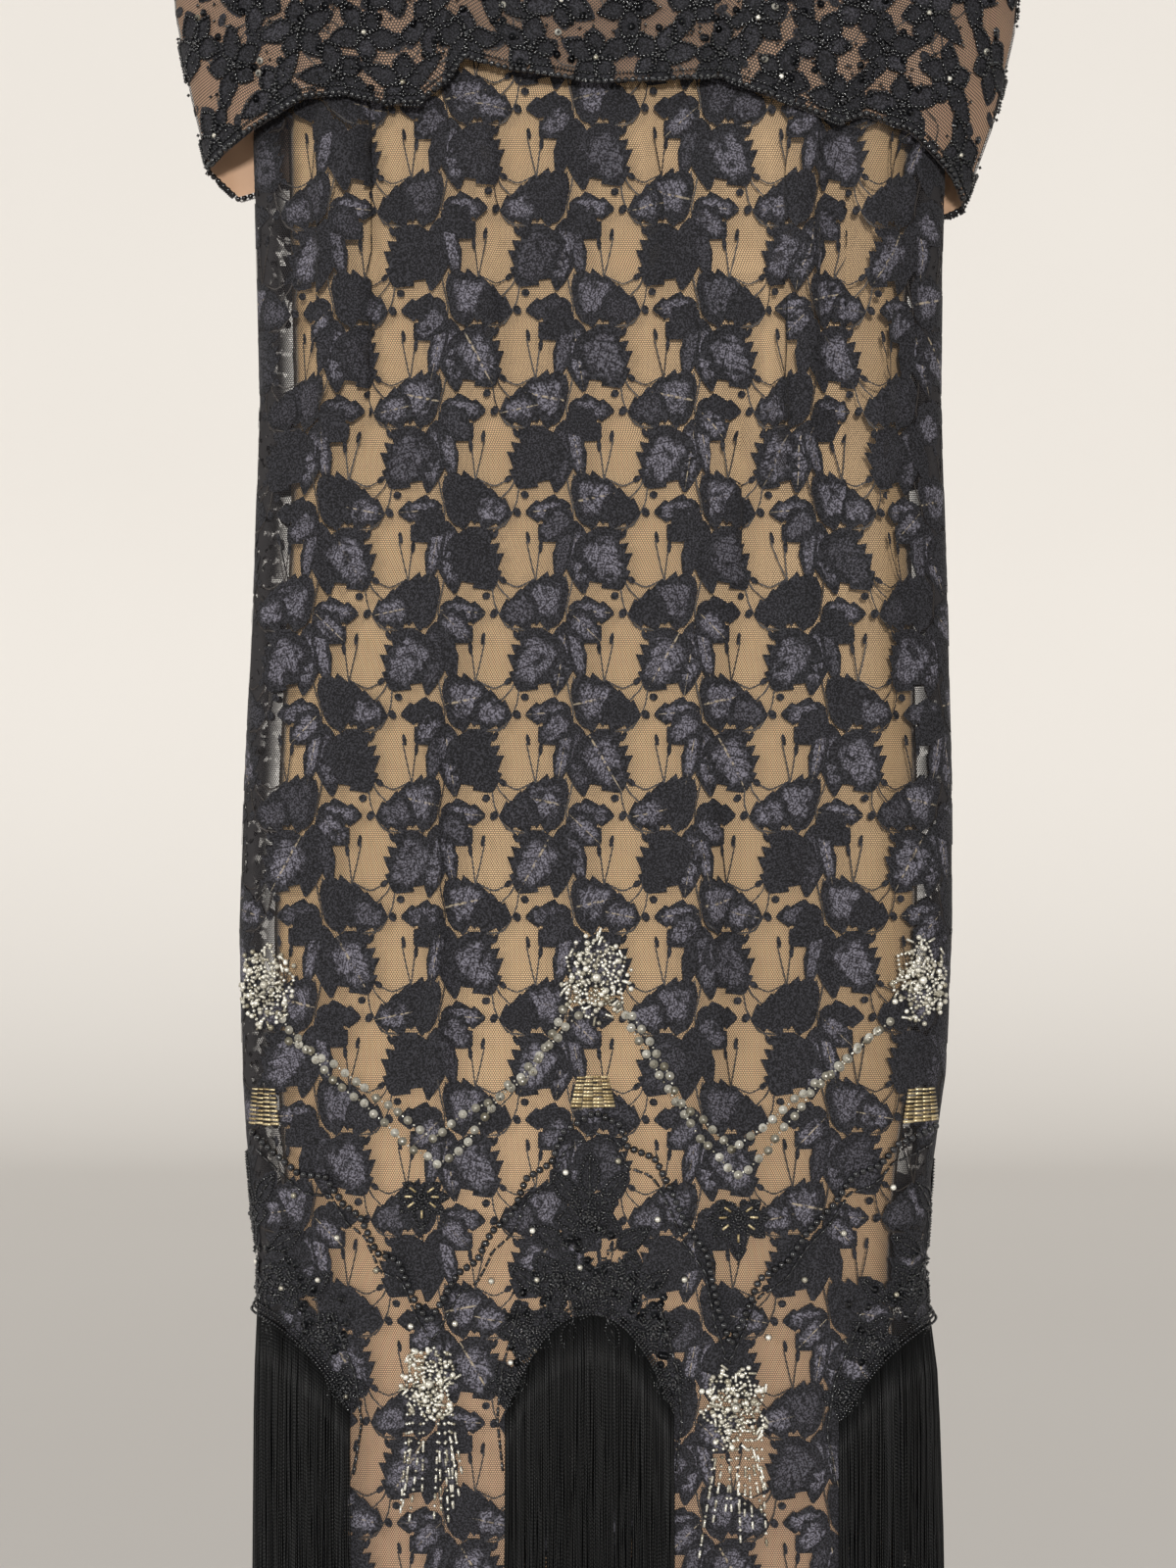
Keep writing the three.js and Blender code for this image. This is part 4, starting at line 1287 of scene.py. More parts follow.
@dataclass
class Slip:
    """The tan satin slip under the lace."""

    form: SlipForm
    finishes: Finishes
    columns: int = 72
    rows: int = 90
    thickness: float = 0.0008
    map_size: tuple[float, float] = (0.45, 1.20)
    row_power: float = 1.5

    def build(self) -> None:
        """Build both halves as thin solid shells."""
        for side in Side:

            def place(across: Array, down: Array, half: Side = side) -> Array:
                """Turn shares of the panel into points, closer rows near the shoulder."""
                share = across * 2.0 - 1.0 if half is Side.FRONT else 1.0 - across * 2.0
                return self.form.place(half, share, down ** self.row_power)

            name = side.name.lower()
            piece = cloth_sheet(f"slip_{name}", self.columns, self.rows, place, self.map_size,
                                self.finishes.slip)
            wall = piece.modifiers.new("wall", "SOLIDIFY")
            wall.thickness = self.thickness
            wall.offset = -1.0
            declare(piece, f"lining_{name}")


class Ground:
    """A flat drawing board laid on the dress: metres across and up become points and ways."""

    def at(self, flat: Array, lift: Array | float) -> Array:
        """Return points at flat places, moved out by a lift."""
        raise NotImplementedError

    def out(self, flat: Array) -> Array:
        """Return the outward way at flat places."""
        raise NotImplementedError


@dataclass
class BodyGround(Ground):
    """The lace body as a drawing board: metres along the cloth and true heights."""

    form: BodyForm
    side: Side

    def at(self, flat: Array, lift: Array | float) -> Array:
        """Return points at flat places, moved out by a lift."""
        return self.form.place(self.side, flat[:, 0], flat[:, 1], lift)

    def out(self, flat: Array) -> Array:
        """Return the outward way at flat places."""
        return self.form.outward(self.side, flat[:, 0], flat[:, 1])

    def spread(self, x: Array, z: Array) -> Array:
        """Turn places across the body and heights into flat places."""
        return np.stack([self.form.arc_at(self.side, x, z), np.atleast_1d(z)], axis=1)

    def spot(self, x: float, z: float) -> Array:
        """Turn one place across the body and its height into a flat place."""
        return self.spread(np.array([x]), np.array([z]))[0]


@dataclass
class YokeGround(Ground):
    """The yoke round one place as a drawing board."""

    form: YokeForm
    side: Side
    centre: tuple[float, float]

    def at(self, flat: Array, lift: Array | float) -> Array:
        """Return points at flat places, moved out by a lift."""
        across, down = self.form.near(self.side, self.centre, flat)
        return self.form.place(self.side, across, down, lift)

    def out(self, flat: Array) -> Array:
        """Return the outward way at flat places."""
        across, down = self.form.near(self.side, self.centre, flat)
        return self.form.outward(self.side, across, np.clip(down, 0.0, 1.0))


class BeadKind(Enum):
    """The small sewn things."""

    SEED = "seed"
    ROUND = "round"
    BUGLE = "bugle"
    SEQUIN = "sequin"
    CRYSTAL = "crystal"


@dataclass(frozen=True)
class BeadShapes:
    """Sizes of the small sewn things, in metres."""

    seed: float = 0.00115
    round: float = 0.0020
    bugle_length: float = 0.0058
    bugle: float = 0.0009
    sequin: float = 0.0031
    crystal: float = 0.0024

    def make(self, kind: BeadKind) -> tuple[Array, Faces]:
        """Return one bead's points and faces; its long way or its face lies along Z."""
        shape = bmesh.new()
        if kind is BeadKind.SEED:
            bmesh.ops.create_uvsphere(shape, u_segments=4, v_segments=2, radius=self.seed)
        elif kind is BeadKind.ROUND:
            bmesh.ops.create_icosphere(shape, subdivisions=2, radius=self.round)
        elif kind is BeadKind.BUGLE:
            bmesh.ops.create_cone(shape, cap_ends=True, segments=6, radius1=self.bugle,
                                  radius2=self.bugle, depth=self.bugle_length)
        elif kind is BeadKind.SEQUIN:
            bmesh.ops.create_cone(shape, cap_ends=True, segments=10, radius1=self.sequin * 0.45,
                                  radius2=self.sequin, depth=self.sequin * 0.30)
        else:
            bmesh.ops.create_cone(shape, cap_ends=True, segments=8, radius1=self.crystal,
                                  radius2=self.crystal * 0.55, depth=self.crystal * 0.8)
        points = np.array([vertex.co[:] for vertex in shape.verts])
        faces = [[vertex.index for vertex in face.verts] for face in shape.faces]
        shape.free()
        return points, faces


class Beads(Gather):
    """Beads sewn on a drawing board, gathered into one mesh."""

    step = 0.0005

    def __init__(self, shapes: BeadShapes, seed: int) -> None:
        """Start with no beads.

        Args:
            shapes: Sizes of the beads.
            seed: Number that fixes their small differences.
        """
        super().__init__()
        self.kinds = {kind: shapes.make(kind) for kind in BeadKind}
        self.chance = np.random.default_rng(seed)

    def sew(
        self,
        kind: BeadKind,
        ground: Ground,
        flat: Array,
        way: Array,
        lift: Array | float,
        slot: int = 0,
        scale: Array | float = 1.0,
        upright: bool = False,
    ) -> None:
        """Sew beads at flat places.

        Args:
            kind: The bead.
            ground: The drawing board.
            flat: Places, one a row.
            way: Flat ways that the beads' long side follows, one a row or one for all.
            lift: Heights of the beads' centres.
            slot: Number of their finish.
            scale: Sizes against the plain bead.
            upright: True where the bead's face looks out, as a sequin's does.
        """
        if len(flat) == 0:
            return
        points, faces = self.kinds[kind]
        centre = ground.at(flat, lift)
        out = ground.out(flat)
        long_way = ground.at(flat + way * self.step, lift) - centre
        long_way = long_way - out * np.sum(long_way * out, axis=1, keepdims=True)
        long_way = long_way / np.maximum(np.linalg.norm(long_way, axis=1, keepdims=True), TINY)
        right = np.cross(long_way, out)
        axes = (right, long_way, out) if upright else (out, right, long_way)
        size = np.broadcast_to(np.asarray(scale, dtype=float), (len(flat),))[:, None, None]
        placed = sum(points[None, :, n:n + 1] * axes[n][:, None, :] for n in range(3)) * size
        placed = (placed + centre[:, None, :]).reshape(-1, 3)
        count = len(points)
        rows = [[n * count + corner for corner in face] for n in range(len(flat)) for face in faces]
        tones = np.repeat(self.chance.random(len(flat)), count)
        self.add(placed, rows, np.zeros((len(placed), 2)), tones, slot)

    def line(
        self,
        kind: BeadKind,
        ground: Ground,
        path: Array,
        pitch: float,
        lift: float,
        slot: int = 0,
        scale: float = 1.0,
    ) -> None:
        """Sew a line of beads along a flat path.

        Args:
            kind: The bead.
            ground: The drawing board.
            path: Corners of the path.
            pitch: Distance from bead to bead.
            lift: Height of the beads' centres.
            slot: Number of their finish.
            scale: Size against the plain bead.
        """
        flat, way = walk(path, pitch)
        self.sew(kind, ground, flat, way, lift, slot, scale, kind is BeadKind.SEQUIN)


def walk(path: Array, pitch: float) -> tuple[Array, Array]:
    """Step along a flat path.

    Args:
        path: Corners of the path.
        pitch: Distance between steps.

    Returns:
        The places and the ways at them.
    """
    steps = np.linalg.norm(np.diff(path, axis=0), axis=1)
    arc = np.concatenate([[0.0], np.cumsum(steps)])
    count = max(2, int(round(arc[-1] / pitch)) + 1)
    places = np.linspace(0.0, arc[-1], count)
    flat = np.stack([np.interp(places, arc, path[:, n]) for n in range(2)], axis=1)
    way = np.gradient(flat, axis=0)
    return flat, way / np.maximum(np.linalg.norm(way, axis=1, keepdims=True), TINY)


def leaf_loop(base: tuple[float, float], turn: float, length: float, width: float) -> Array:
    """Draw a pointed loop like a leaf's edge.

    Args:
        base: Where it starts and ends.
        turn: Way it points, in degrees.
        length: Its length.
        width: Its width.

    Returns:
        The loop's corners.
    """
    along = np.concatenate([np.linspace(0.0, 1.0, 9), np.linspace(1.0, 0.0, 9)[1:]])
    side = np.concatenate([np.ones(9), -np.ones(8)])
    wide = side * width / 2 * np.sin(math.pi * along ** 0.8) ** 0.9
    angle = math.radians(turn)
    way = np.array([math.cos(angle), math.sin(angle)])
    right = np.array([way[1], -way[0]])
    return np.array(base) + np.outer(along * length, way) + np.outer(wide, right)


YOKE_SPRIG = Sprig(
    lobes=(
        Lobe(0.000, 0.001, 84, 0.022, 0.015, 2, 0.3, 0.8),
        Lobe(0.002, 0.000, 24, 0.017, 0.013, 2, 0.3, 0.8),
        Lobe(0.001, -0.002, -50, 0.026, 0.014, 3, 0.3, 0.8),
        Lobe(-0.001, -0.002, 228, 0.018, 0.014, 2, 0.3, 0.8),
        Lobe(-0.002, 0.000, 160, 0.024, 0.014, 3, 0.3, 0.8),
    ),
    stems=(
        ((0.000, -0.010), (0.006, -0.020), (0.020, -0.024)),
        ((-0.010, 0.008), (-0.014, 0.020), (-0.004, 0.028)),
    ),
    dots=(Dot(0.019, -0.024, 0.008, 0.006, 30), Dot(-0.003, 0.027, 0.008, 0.006, 150)),
)


@dataclass
class Yoke:
    """The beaded yoke with its cut-on sleeves, its own lining and the round beads along its hem."""

    form: YokeForm
    lining: YokeForm
    finishes: Finishes
    shapes: BeadShapes
    columns: int = 120
    rows: int = 48
    pitch_across: float = 0.042
    pitch_down: float = 0.033
    row_power: float = 1.6
    map_size: tuple[float, float] = (0.52, 0.27)
    flower_rows: int = 10
    flower_columns: int = 8
    flower_half: float = 0.262
    hem_gap: float = 0.01612
    seed_pitch: float = 0.0026
    seed_lift: float = 0.0014
    loose_seeds: int = 9
    loose_reach: float = 0.022
    gap_reach: float = 0.021
    edge_down: float = 0.985

    def sheets(self, side: Side) -> None:
        """Build the yoke's net and its lining on one half.

        Args:
            side: The half of the dress.
        """
        name = side.name.lower()

        def across_of(across: Array) -> Array:
            """Turn shares of the panel into places across, closer at the overarm folds."""
            share = np.sin((across * 2.0 - 1.0) * math.pi / 2)
            return share if side is Side.FRONT else -share

        def outer(across: Array, down: Array) -> Array:
            """Turn shares of the panel into points of the net."""
            return self.form.base(side, across_of(across), down ** self.row_power)

        def inner(across: Array, down: Array) -> Array:
            """Turn shares of the panel into points of the lining, set in from the edges."""
            return self.lining.base(side, across_of(across) * 0.994, down ** self.row_power * self.edge_down)

        for label, place, finish, node, slot in (
            ("yoke_net", outer, self.finishes.yoke_net, "yoke", "lace"),
            ("yoke_slip", inner, self.finishes.yoke_slip, "yoke_lining", "nude_lining"),
        ):
            piece = cloth_sheet(f"{label}_{name}", self.columns, self.rows, place, self.map_size, finish)
            declare(piece, f"{node}_{name}")

    def spots(self, side: Side) -> list[tuple[float, float]]:
        """Return places across and down of the flowers, in staggered rows from the hem up."""
        found = []
        for row in range(self.flower_rows):
            for column in range(-self.flower_columns, self.flower_columns + 1):
                x = (column + (0.5 if row % 2 else 0.0)) * self.pitch_across
                across = x / self.flower_half
                if abs(across) > 0.985:
                    continue
                line = self.form.base(side, np.full(60, across), np.linspace(0.0, 1.0, 60))
                run = np.linalg.norm(np.diff(line, axis=0), axis=1).sum()
                down = 1.0 - (self.hem_gap + row * self.pitch_down) / run
                if down > 0.05:
                    found.append((across, down))
        return found

    def beadwork(self, side: Side) -> None:
        """Lay the woven flowers and outline them with seed beads.

        Args:
            side: The half of the dress.
        """
        name = side.name.lower()
        chance = np.random.default_rng(SEED + 40 + int(side.value))
        woven = Gather()
        beads = Beads(self.shapes, SEED + 50 + int(side.value))
        for number, centre in enumerate(self.spots(side)):
            ground = YokeGround(self.form, side, centre)
            spin = chance.uniform(0, 360)
            turn = math.radians(spin)
            rotation = np.array([[math.cos(turn), math.sin(turn)], [-math.sin(turn), math.cos(turn)]])
            for points, faces, marks, tones, lift, slot in YOKE_SPRIG.flat(chance):
                faces = facing(faces, side is Side.BACK)
                # Yoke leaves get high tones, so little of the painted sheen shows on them.
                woven.add(ground.at(points @ rotation, lift), faces, marks, tones * 0.3 + 0.7, slot)
            for lobe in YOKE_SPRIG.lobes:
                length = lobe.length * chance.uniform(0.82, 1.05)
                base = tuple(np.array([lobe.x, lobe.z]) @ rotation)
                loop = leaf_loop(base, lobe.turn + spin, length, lobe.width * 0.9)
                beads.line(BeadKind.SEED, ground, loop,
                           pitch=self.seed_pitch, lift=self.seed_lift, scale=1.2)
            ring = ways(np.arange(7) * 2 * math.pi / 7) * 0.0042
            beads.sew(BeadKind.SEED, ground, ring, ring, lift=self.seed_lift, scale=1.3)
            slot = 1 if number % 3 == 0 else 0
            beads.sew(BeadKind.CRYSTAL, ground, np.zeros((1, 2)), UP,
                      lift=0.0016, slot=slot, scale=0.9, upright=True)
            more = chance.uniform(-self.loose_reach, self.loose_reach, (self.loose_seeds, 2))
            beads.sew(BeadKind.SEED, ground, more, UP, lift=0.0013, scale=1.15)
            gaps = chance.uniform(-self.gap_reach, self.gap_reach, (5, 2))
            beads.sew(BeadKind.SEQUIN, ground, gaps[:3], UP, lift=0.0009, scale=0.8, upright=True)
            beads.sew(BeadKind.SEED, ground, gaps, UP, lift=0.0018)
            if number % 4 == 1:
                beads.sew(BeadKind.SEQUIN, ground, gaps[3:4], UP,
                          lift=0.0010, slot=1, scale=0.75, upright=True)
        flowers = woven.build(f"yoke_flowers_{name}", [self.finishes.leaf, self.finishes.vine])
        sewn = beads.build(f"yoke_beads_{name}", [self.finishes.jet, self.finishes.clear])
        prune(flowers)
        declare(flowers)
        declare(sewn)

    def edging(self, side: Side) -> None:
        """Sew the round beads and the seed beads above them along the hem.

        Args:
            side: The half of the dress.
        """
        name = side.name.lower()
        across = np.linspace(-0.996, 0.996, 400)
        line = self.form.base(side, across, np.ones(len(across)))
        arc = np.concatenate([[0.0], np.cumsum(np.linalg.norm(np.diff(line, axis=0), axis=1))])
        beads = Beads(self.shapes, SEED + 60)
        for kind, pitch, rise, lift in (
            (BeadKind.ROUND, 0.0043, -0.0012, 0.0010),
            (BeadKind.SEED, 0.0022, 0.0034, 0.0012),
        ):
            for place in np.interp(np.arange(0.0, arc[-1], pitch), arc, across):
                ground = YokeGround(self.form, side, (float(place), self.edge_down))
                beads.sew(kind, ground, UP * rise, ACROSS, lift=lift)
        piece = beads.build(f"yoke_edging_beads_{name}", [self.finishes.jet])
        declare(piece, f"yoke_edging_{name}")

    def build(self) -> None:
        """Build both halves."""
        for side in Side:
            self.sheets(side)
            self.beadwork(side)
            self.edging(side)


class Motif(NamedTuple):
    """A place for beadwork on the body: its node, half, centre and half sizes in metres."""

    node: str
    side: Side
    x: float
    z: float
    across: float
    up: float


def ground_leaf(beads: Beads, ground: BodyGround, lobe: Lobe, layer: int) -> None:
    """Lay one dark woven leaf under the beads, in the third finish.

    Args:
        beads: The beads it joins.
        ground: The drawing board.
        lobe: The leaf.
        layer: Its layer, so that leaves that cross don't touch.
    """
    points, faces, marks = LACE_SPRIG.lobe_flat(lobe)
    faces = facing(faces, ground.side is Side.BACK)
    beads.add(ground.at(points, LEAF_LIFT + LEAF_LAYER * layer), faces, marks, np.ones(len(points)), 2)


@dataclass
class Beadwork:
    """The beadwork below the knee: zigzag, rosettes, bugle blocks, petals and sequin strands."""

    form: BodyForm
    finishes: Finishes
    shapes: BeadShapes
    zigzag_front: Path = (
        (-0.218, -1.020), (-0.188, -1.045), (-0.171, -1.046), (-0.160, -1.063), (-0.149, -1.071),
        (-0.138, -1.094), (-0.125, -1.098), (-0.114, -1.124), (-0.105, -1.137), (-0.095, -1.120),
        (-0.087, -1.106), (-0.075, -1.098), (-0.066, -1.080), (-0.052, -1.067), (-0.044, -1.046),
        (-0.028, -1.036), (-0.020, -1.016), (-0.001, -1.004), (0.015, -1.012), (0.020, -1.026),
        (0.037, -1.033), (0.047, -1.052), (0.057, -1.075), (0.070, -1.093), (0.077, -1.128),
        (0.085, -1.151), (0.096, -1.128), (0.103, -1.110), (0.122, -1.098), (0.134, -1.080),
        (0.150, -1.064), (0.163, -1.045), (0.180, -1.039), (0.192, -1.026), (0.216, -1.016),
    )
    zigzag_back: Path = (
        (-0.212, -1.017), (-0.168, -1.052), (-0.150, -1.084), (-0.124, -1.104), (-0.105, -1.142),
        (-0.084, -1.104), (-0.058, -1.080), (-0.038, -1.040), (0.000, -1.006), (0.038, -1.040),
        (0.058, -1.080), (0.084, -1.104), (0.105, -1.142), (0.124, -1.104), (0.150, -1.084),
        (0.168, -1.052), (0.210, -1.017),
    )
    cusps_front: Path = (
        (-0.192, -1.059), (-0.164, -1.085), (-0.139, -1.105), (-0.117, -1.140), (-0.089, -1.138),
        (-0.066, -1.111), (-0.040, -1.079), (-0.019, -1.042), (0.014, -1.035), (0.039, -1.072),
        (0.056, -1.110), (0.109, -1.147), (0.132, -1.111), (0.157, -1.082), (0.189, -1.054),
    )
    strands_front: tuple[Path, ...] = (
        ((-0.200, -0.946), (-0.172, -0.980), (-0.144, -1.002), (-0.123, -1.022), (-0.099, -1.039),
         (-0.079, -1.020), (-0.058, -0.991), (-0.030, -0.962), (-0.012, -0.944)),
        ((-0.196, -0.960), (-0.175, -0.969), (-0.150, -0.986), (-0.128, -1.003), (-0.102, -1.021),
         (-0.086, -1.007), (-0.065, -0.998), (-0.040, -0.978), (-0.020, -0.940)),
        ((0.014, -0.936), (0.029, -0.964), (0.048, -0.992), (0.066, -1.022), (0.092, -1.046),
         (0.113, -1.023), (0.138, -0.990), (0.162, -0.969), (0.186, -0.947)),
        ((0.024, -0.944), (0.040, -0.970), (0.056, -1.002), (0.072, -1.012), (0.086, -1.029),
         (0.104, -1.014), (0.124, -0.998), (0.150, -0.979), (0.178, -0.954)),
    )
    rosettes: tuple[Motif, ...] = (
        Motif("rosette_upper_front", Side.FRONT, 0.000, -0.919, 0.023, 0.029),
        Motif("rosette_upper_left", Side.FRONT, -0.210, -0.925, 0.022, 0.028),
        Motif("rosette_upper_right", Side.FRONT, 0.207, -0.922, 0.022, 0.029),
        Motif("rosette_upper_back", Side.BACK, 0.000, -0.920, 0.023, 0.029),
        Motif("rosette_lower_front_left", Side.FRONT, -0.105, -1.176, 0.019, 0.025),
        Motif("rosette_lower_front_right", Side.FRONT, 0.088, -1.191, 0.023, 0.027),
        Motif("rosette_lower_back_left", Side.BACK, -0.105, -1.184, 0.021, 0.026),
        Motif("rosette_lower_back_right", Side.BACK, 0.105, -1.184, 0.021, 0.026),
    )
    petals: tuple[Motif, ...] = (
        Motif("petal_motif_front_left", Side.FRONT, -0.110, -1.066, 0.017, 0.024),
        Motif("petal_motif_front_right", Side.FRONT, 0.090, -1.079, 0.020, 0.024),
        Motif("petal_motif_back_left", Side.BACK, -0.105, -1.072, 0.019, 0.024),
        Motif("petal_motif_back_right", Side.BACK, 0.105, -1.072, 0.019, 0.024),
    )
    blocks: tuple[Motif, ...] = (
        Motif("bugle_block_front", Side.FRONT, -0.002, -0.991, 0.014, 0.009),
        Motif("bugle_block_left", Side.FRONT, -0.212, -1.003, 0.012, 0.011),
        Motif("bugle_block_right", Side.FRONT, 0.208, -1.002, 0.014, 0.010),
        Motif("bugle_block_back", Side.BACK, 0.000, -0.992, 0.014, 0.009),
    )
    strings: int = 13
    bugle_rows: int = 9
    bugles_a_row: int = 4

    def zigzag(self, side: Side) -> None:
        """Sew the round-bead zigzag, the bugle line below it and the crystals at its turns.

        Args:
            side: The half of the dress.
        """
        ground = BodyGround(self.form, side)
        corners = np.array(self.zigzag_front if side is Side.FRONT else self.zigzag_back)
        path = ground.spread(corners[:, 0], corners[:, 1])
        beads = Beads(self.shapes, SEED + 70)
        beads.line(BeadKind.ROUND, ground, path, pitch=0.0050, lift=0.0026, scale=1.22)
        lower = ground.spread(corners[:, 0] * 0.985, corners[:, 1] - 0.0125)
        beads.line(BeadKind.BUGLE, ground, lower, pitch=0.0072, lift=0.0012)
        turns = np.array(self.cusps_front) if side is Side.FRONT else corners[1:-1:2] - (0.0, 0.013)
        flat = ground.spread(turns[:, 0], turns[:, 1])
        beads.sew(BeadKind.CRYSTAL, ground, flat, UP, lift=0.0022, slot=1, scale=0.95, upright=True)
        name = side.name.lower()
        piece = beads.build(f"zigzag_{name}", [self.finishes.jet, self.finishes.clear])
        declare(piece, f"bead_border_{name}")

    def rosette(self, number: int, motif: Motif) -> None:
        """Heap clear beads, bugles and a crystal into one rosette, with dangling strings if it is low.

        Args:
            number: The rosette's number, to vary it.
            motif: Its place and size.
        """
        ground = BodyGround(self.form, motif.side)
        beads = Beads(self.shapes, SEED + 80 + number)
        chance = beads.chance
        centre = ground.spot(motif.x, motif.z)
        half = np.array([motif.across, motif.up])
        for petal in range(6):
            turn = petal * 60.0 + 20.0 + chance.uniform(-12, 12)
            reach = 0.92 * float(np.mean(half))
            for shrink in (1.0, 0.66):
                loop = leaf_loop((0.0, 0.0), turn, reach * shrink, reach * 0.75 * shrink)
                loop = loop / np.mean(half) * half + centre
                beads.line(BeadKind.SEED, ground, loop,
                           pitch=0.0028, lift=0.0018 + 0.0012 * (1 - shrink), scale=1.25)
        angle = chance.uniform(0, 2 * math.pi, 70)
        radius = np.sqrt(chance.uniform(0.03, 1.0, len(angle)))
        flat = ways(angle) * radius[:, None] * half + centre
        way = ways(angle * 3)
        lift = 0.0018 + 0.0024 * (1.0 - radius)
        rounds, bugles, crystals = slice(0, 34), slice(34, 56), slice(56, None)
        sizes = chance.uniform(0.6, 1.0, rounds.stop)
        beads.sew(BeadKind.ROUND, ground, flat[rounds], way[rounds], lift=lift[rounds], scale=sizes)
        beads.sew(BeadKind.BUGLE, ground, flat[bugles], way[bugles], lift=lift[bugles], scale=0.9)
        beads.sew(BeadKind.CRYSTAL, ground, flat[crystals], way[crystals],
                  lift=lift[crystals] + 0.0006, scale=0.8, upright=True)
        beads.sew(BeadKind.CRYSTAL, ground, centre[None, :], UP, lift=0.0048, scale=1.35, upright=True)
        if "lower" in motif.node:
            for _ in range(self.strings):
                start = centre + half * (chance.uniform(-0.8, 0.8), -0.55)
                drop = chance.uniform(0.030, 0.078)
                lean = (start[0] - centre[0]) * 0.5 + chance.uniform(-0.006, 0.006)
                path = np.array([start, start + (lean * 0.4, -drop * 0.5), start + (lean, -drop)])
                beads.line(BeadKind.SEED, ground, path, pitch=0.0058, lift=0.0016, scale=1.1)
                beads.line(BeadKind.BUGLE, ground, path[1:], pitch=0.0105, lift=0.0016, scale=0.8)
        piece = beads.build(f"{motif.node}_beads", [self.finishes.clear])
        declare(piece, motif.node)

    def petal(self, number: int, motif: Motif) -> None:
        """Sew one black petal motif with champagne bugles in its petals.

        Args:
            number: The motif's number, to vary it.
            motif: Its place and size.
        """
        ground = BodyGround(self.form, motif.side)
        beads = Beads(self.shapes, SEED + 100 + number)
        centre = ground.spot(motif.x, motif.z) + (0.0, motif.up * 0.35)
        for turn, length, width in (
            (35, 0.8, 0.5), (145, 0.8, 0.5), (-2, 0.95, 0.5), (182, 0.95, 0.5), (-38, 1.0, 0.5),
            (218, 1.0, 0.5), (-90, 1.3, 0.6),
        ):
            size = motif.across
            lobe = Lobe(centre[0], centre[1], turn, size * length * 1.1, size * width * 1.1)
            ground_leaf(beads, ground, lobe, turn % 7)
            loop = leaf_loop((0.0, 0.0), turn, size * length, size * width) + centre
            beads.line(BeadKind.SEED, ground, loop, pitch=SEED_PITCH, lift=0.0012)
            angle = math.radians(turn)
            way = np.array([[math.cos(angle), math.sin(angle)]])
            beads.sew(BeadKind.BUGLE, ground, centre + way * size * length * 0.52, way,
                      lift=0.0014, slot=1, scale=0.85)
            beads.sew(BeadKind.BUGLE, ground, centre + way * size * length * 0.95, way,
                      lift=0.0014, scale=0.7)
        stem = np.array([[0.0, 0.0], [0.001, -motif.up * 0.7], [0.0, -motif.up * 1.25]]) + centre
        beads.line(BeadKind.SEED, ground, stem, pitch=0.0022, lift=0.0012)
        materials = [self.finishes.jet, self.finishes.champagne, self.finishes.leaf]
        declare(beads.build(f"{motif.node}_beads", materials), motif.node)

    def block(self, number: int, motif: Motif) -> None:
        """Sew one block of champagne bugles, row above row and narrower at the top.

        Args:
            number: The block's number, to vary it.
            motif: Its place and size.
        """
        ground = BodyGround(self.form, motif.side)
        beads = Beads(self.shapes, SEED + 110 + number)
        centre = ground.spot(motif.x, motif.z)
        count = self.bugles_a_row
        for share in np.linspace(0.0, 1.0, self.bugle_rows):
            height = mix(motif.up, -motif.up, share)
            wide = motif.across * mix(0.72, 1.0, share)
            across = np.linspace(-wide, wide, count + 1)
            across = (across[1:] + across[:-1]) / 2
            flat = np.stack([across, np.full(count, height)], axis=1) + centre
            flat[:, 1] += beads.chance.uniform(-0.0003, 0.0003, count)
            scale = wide * 2 / count / self.shapes.bugle_length * 0.97
            beads.sew(BeadKind.BUGLE, ground, flat, ACROSS, lift=0.0013, scale=scale)
        piece = beads.build(f"{motif.node}_beads", [self.finishes.champagne])
        declare(piece, motif.node)

    def strands(self, side: Side) -> None:
        """Sew the sequin strands that hang in swags between the upper rosettes.

        Args:
            side: The half of the dress.
        """
        ground = BodyGround(self.form, side)
        beads = Beads(self.shapes, SEED + 120)
        for path in self.strands_front:
            corners = np.array(path)
            if side is Side.BACK:
                corners = corners * (-1.0, 1.0) - (0.004, 0.002)
            flat, way = walk(ground.spread(corners[:, 0], corners[:, 1]), 0.0088)
            flat = flat + beads.chance.uniform(-0.0012, 0.0012, flat.shape)
            beads.sew(BeadKind.SEQUIN, ground, flat, way, lift=0.0010, scale=0.92, upright=True)
            beads.sew(BeadKind.SEED, ground, flat, way, lift=0.0022, scale=1.1)
            between = (flat[1:] + flat[:-1]) / 2
            beads.sew(BeadKind.SEED, ground, between, way[1:], lift=0.0012, scale=0.8)
        piece = beads.build(f"sequin_strands_{side.name.lower()}", [self.finishes.clear])
        declare(piece)

    def build(self) -> None:
        """Build all of the beadwork."""
        for side in Side:
            self.zigzag(side)
            self.strands(side)
        for number, motif in enumerate(self.rosettes):
            self.rosette(number, motif)
        for number, motif in enumerate(self.petals):
            self.petal(number, motif)
        for number, motif in enumerate(self.blocks):
            self.block(number, motif)


class Panel(NamedTuple):
    """One fringe panel: name, half it is counted on, middle and half width along the cloth, top and fall."""

    name: str
    side: Side
    seam: float
    x: float
    half: float
    top: float
    fall: float


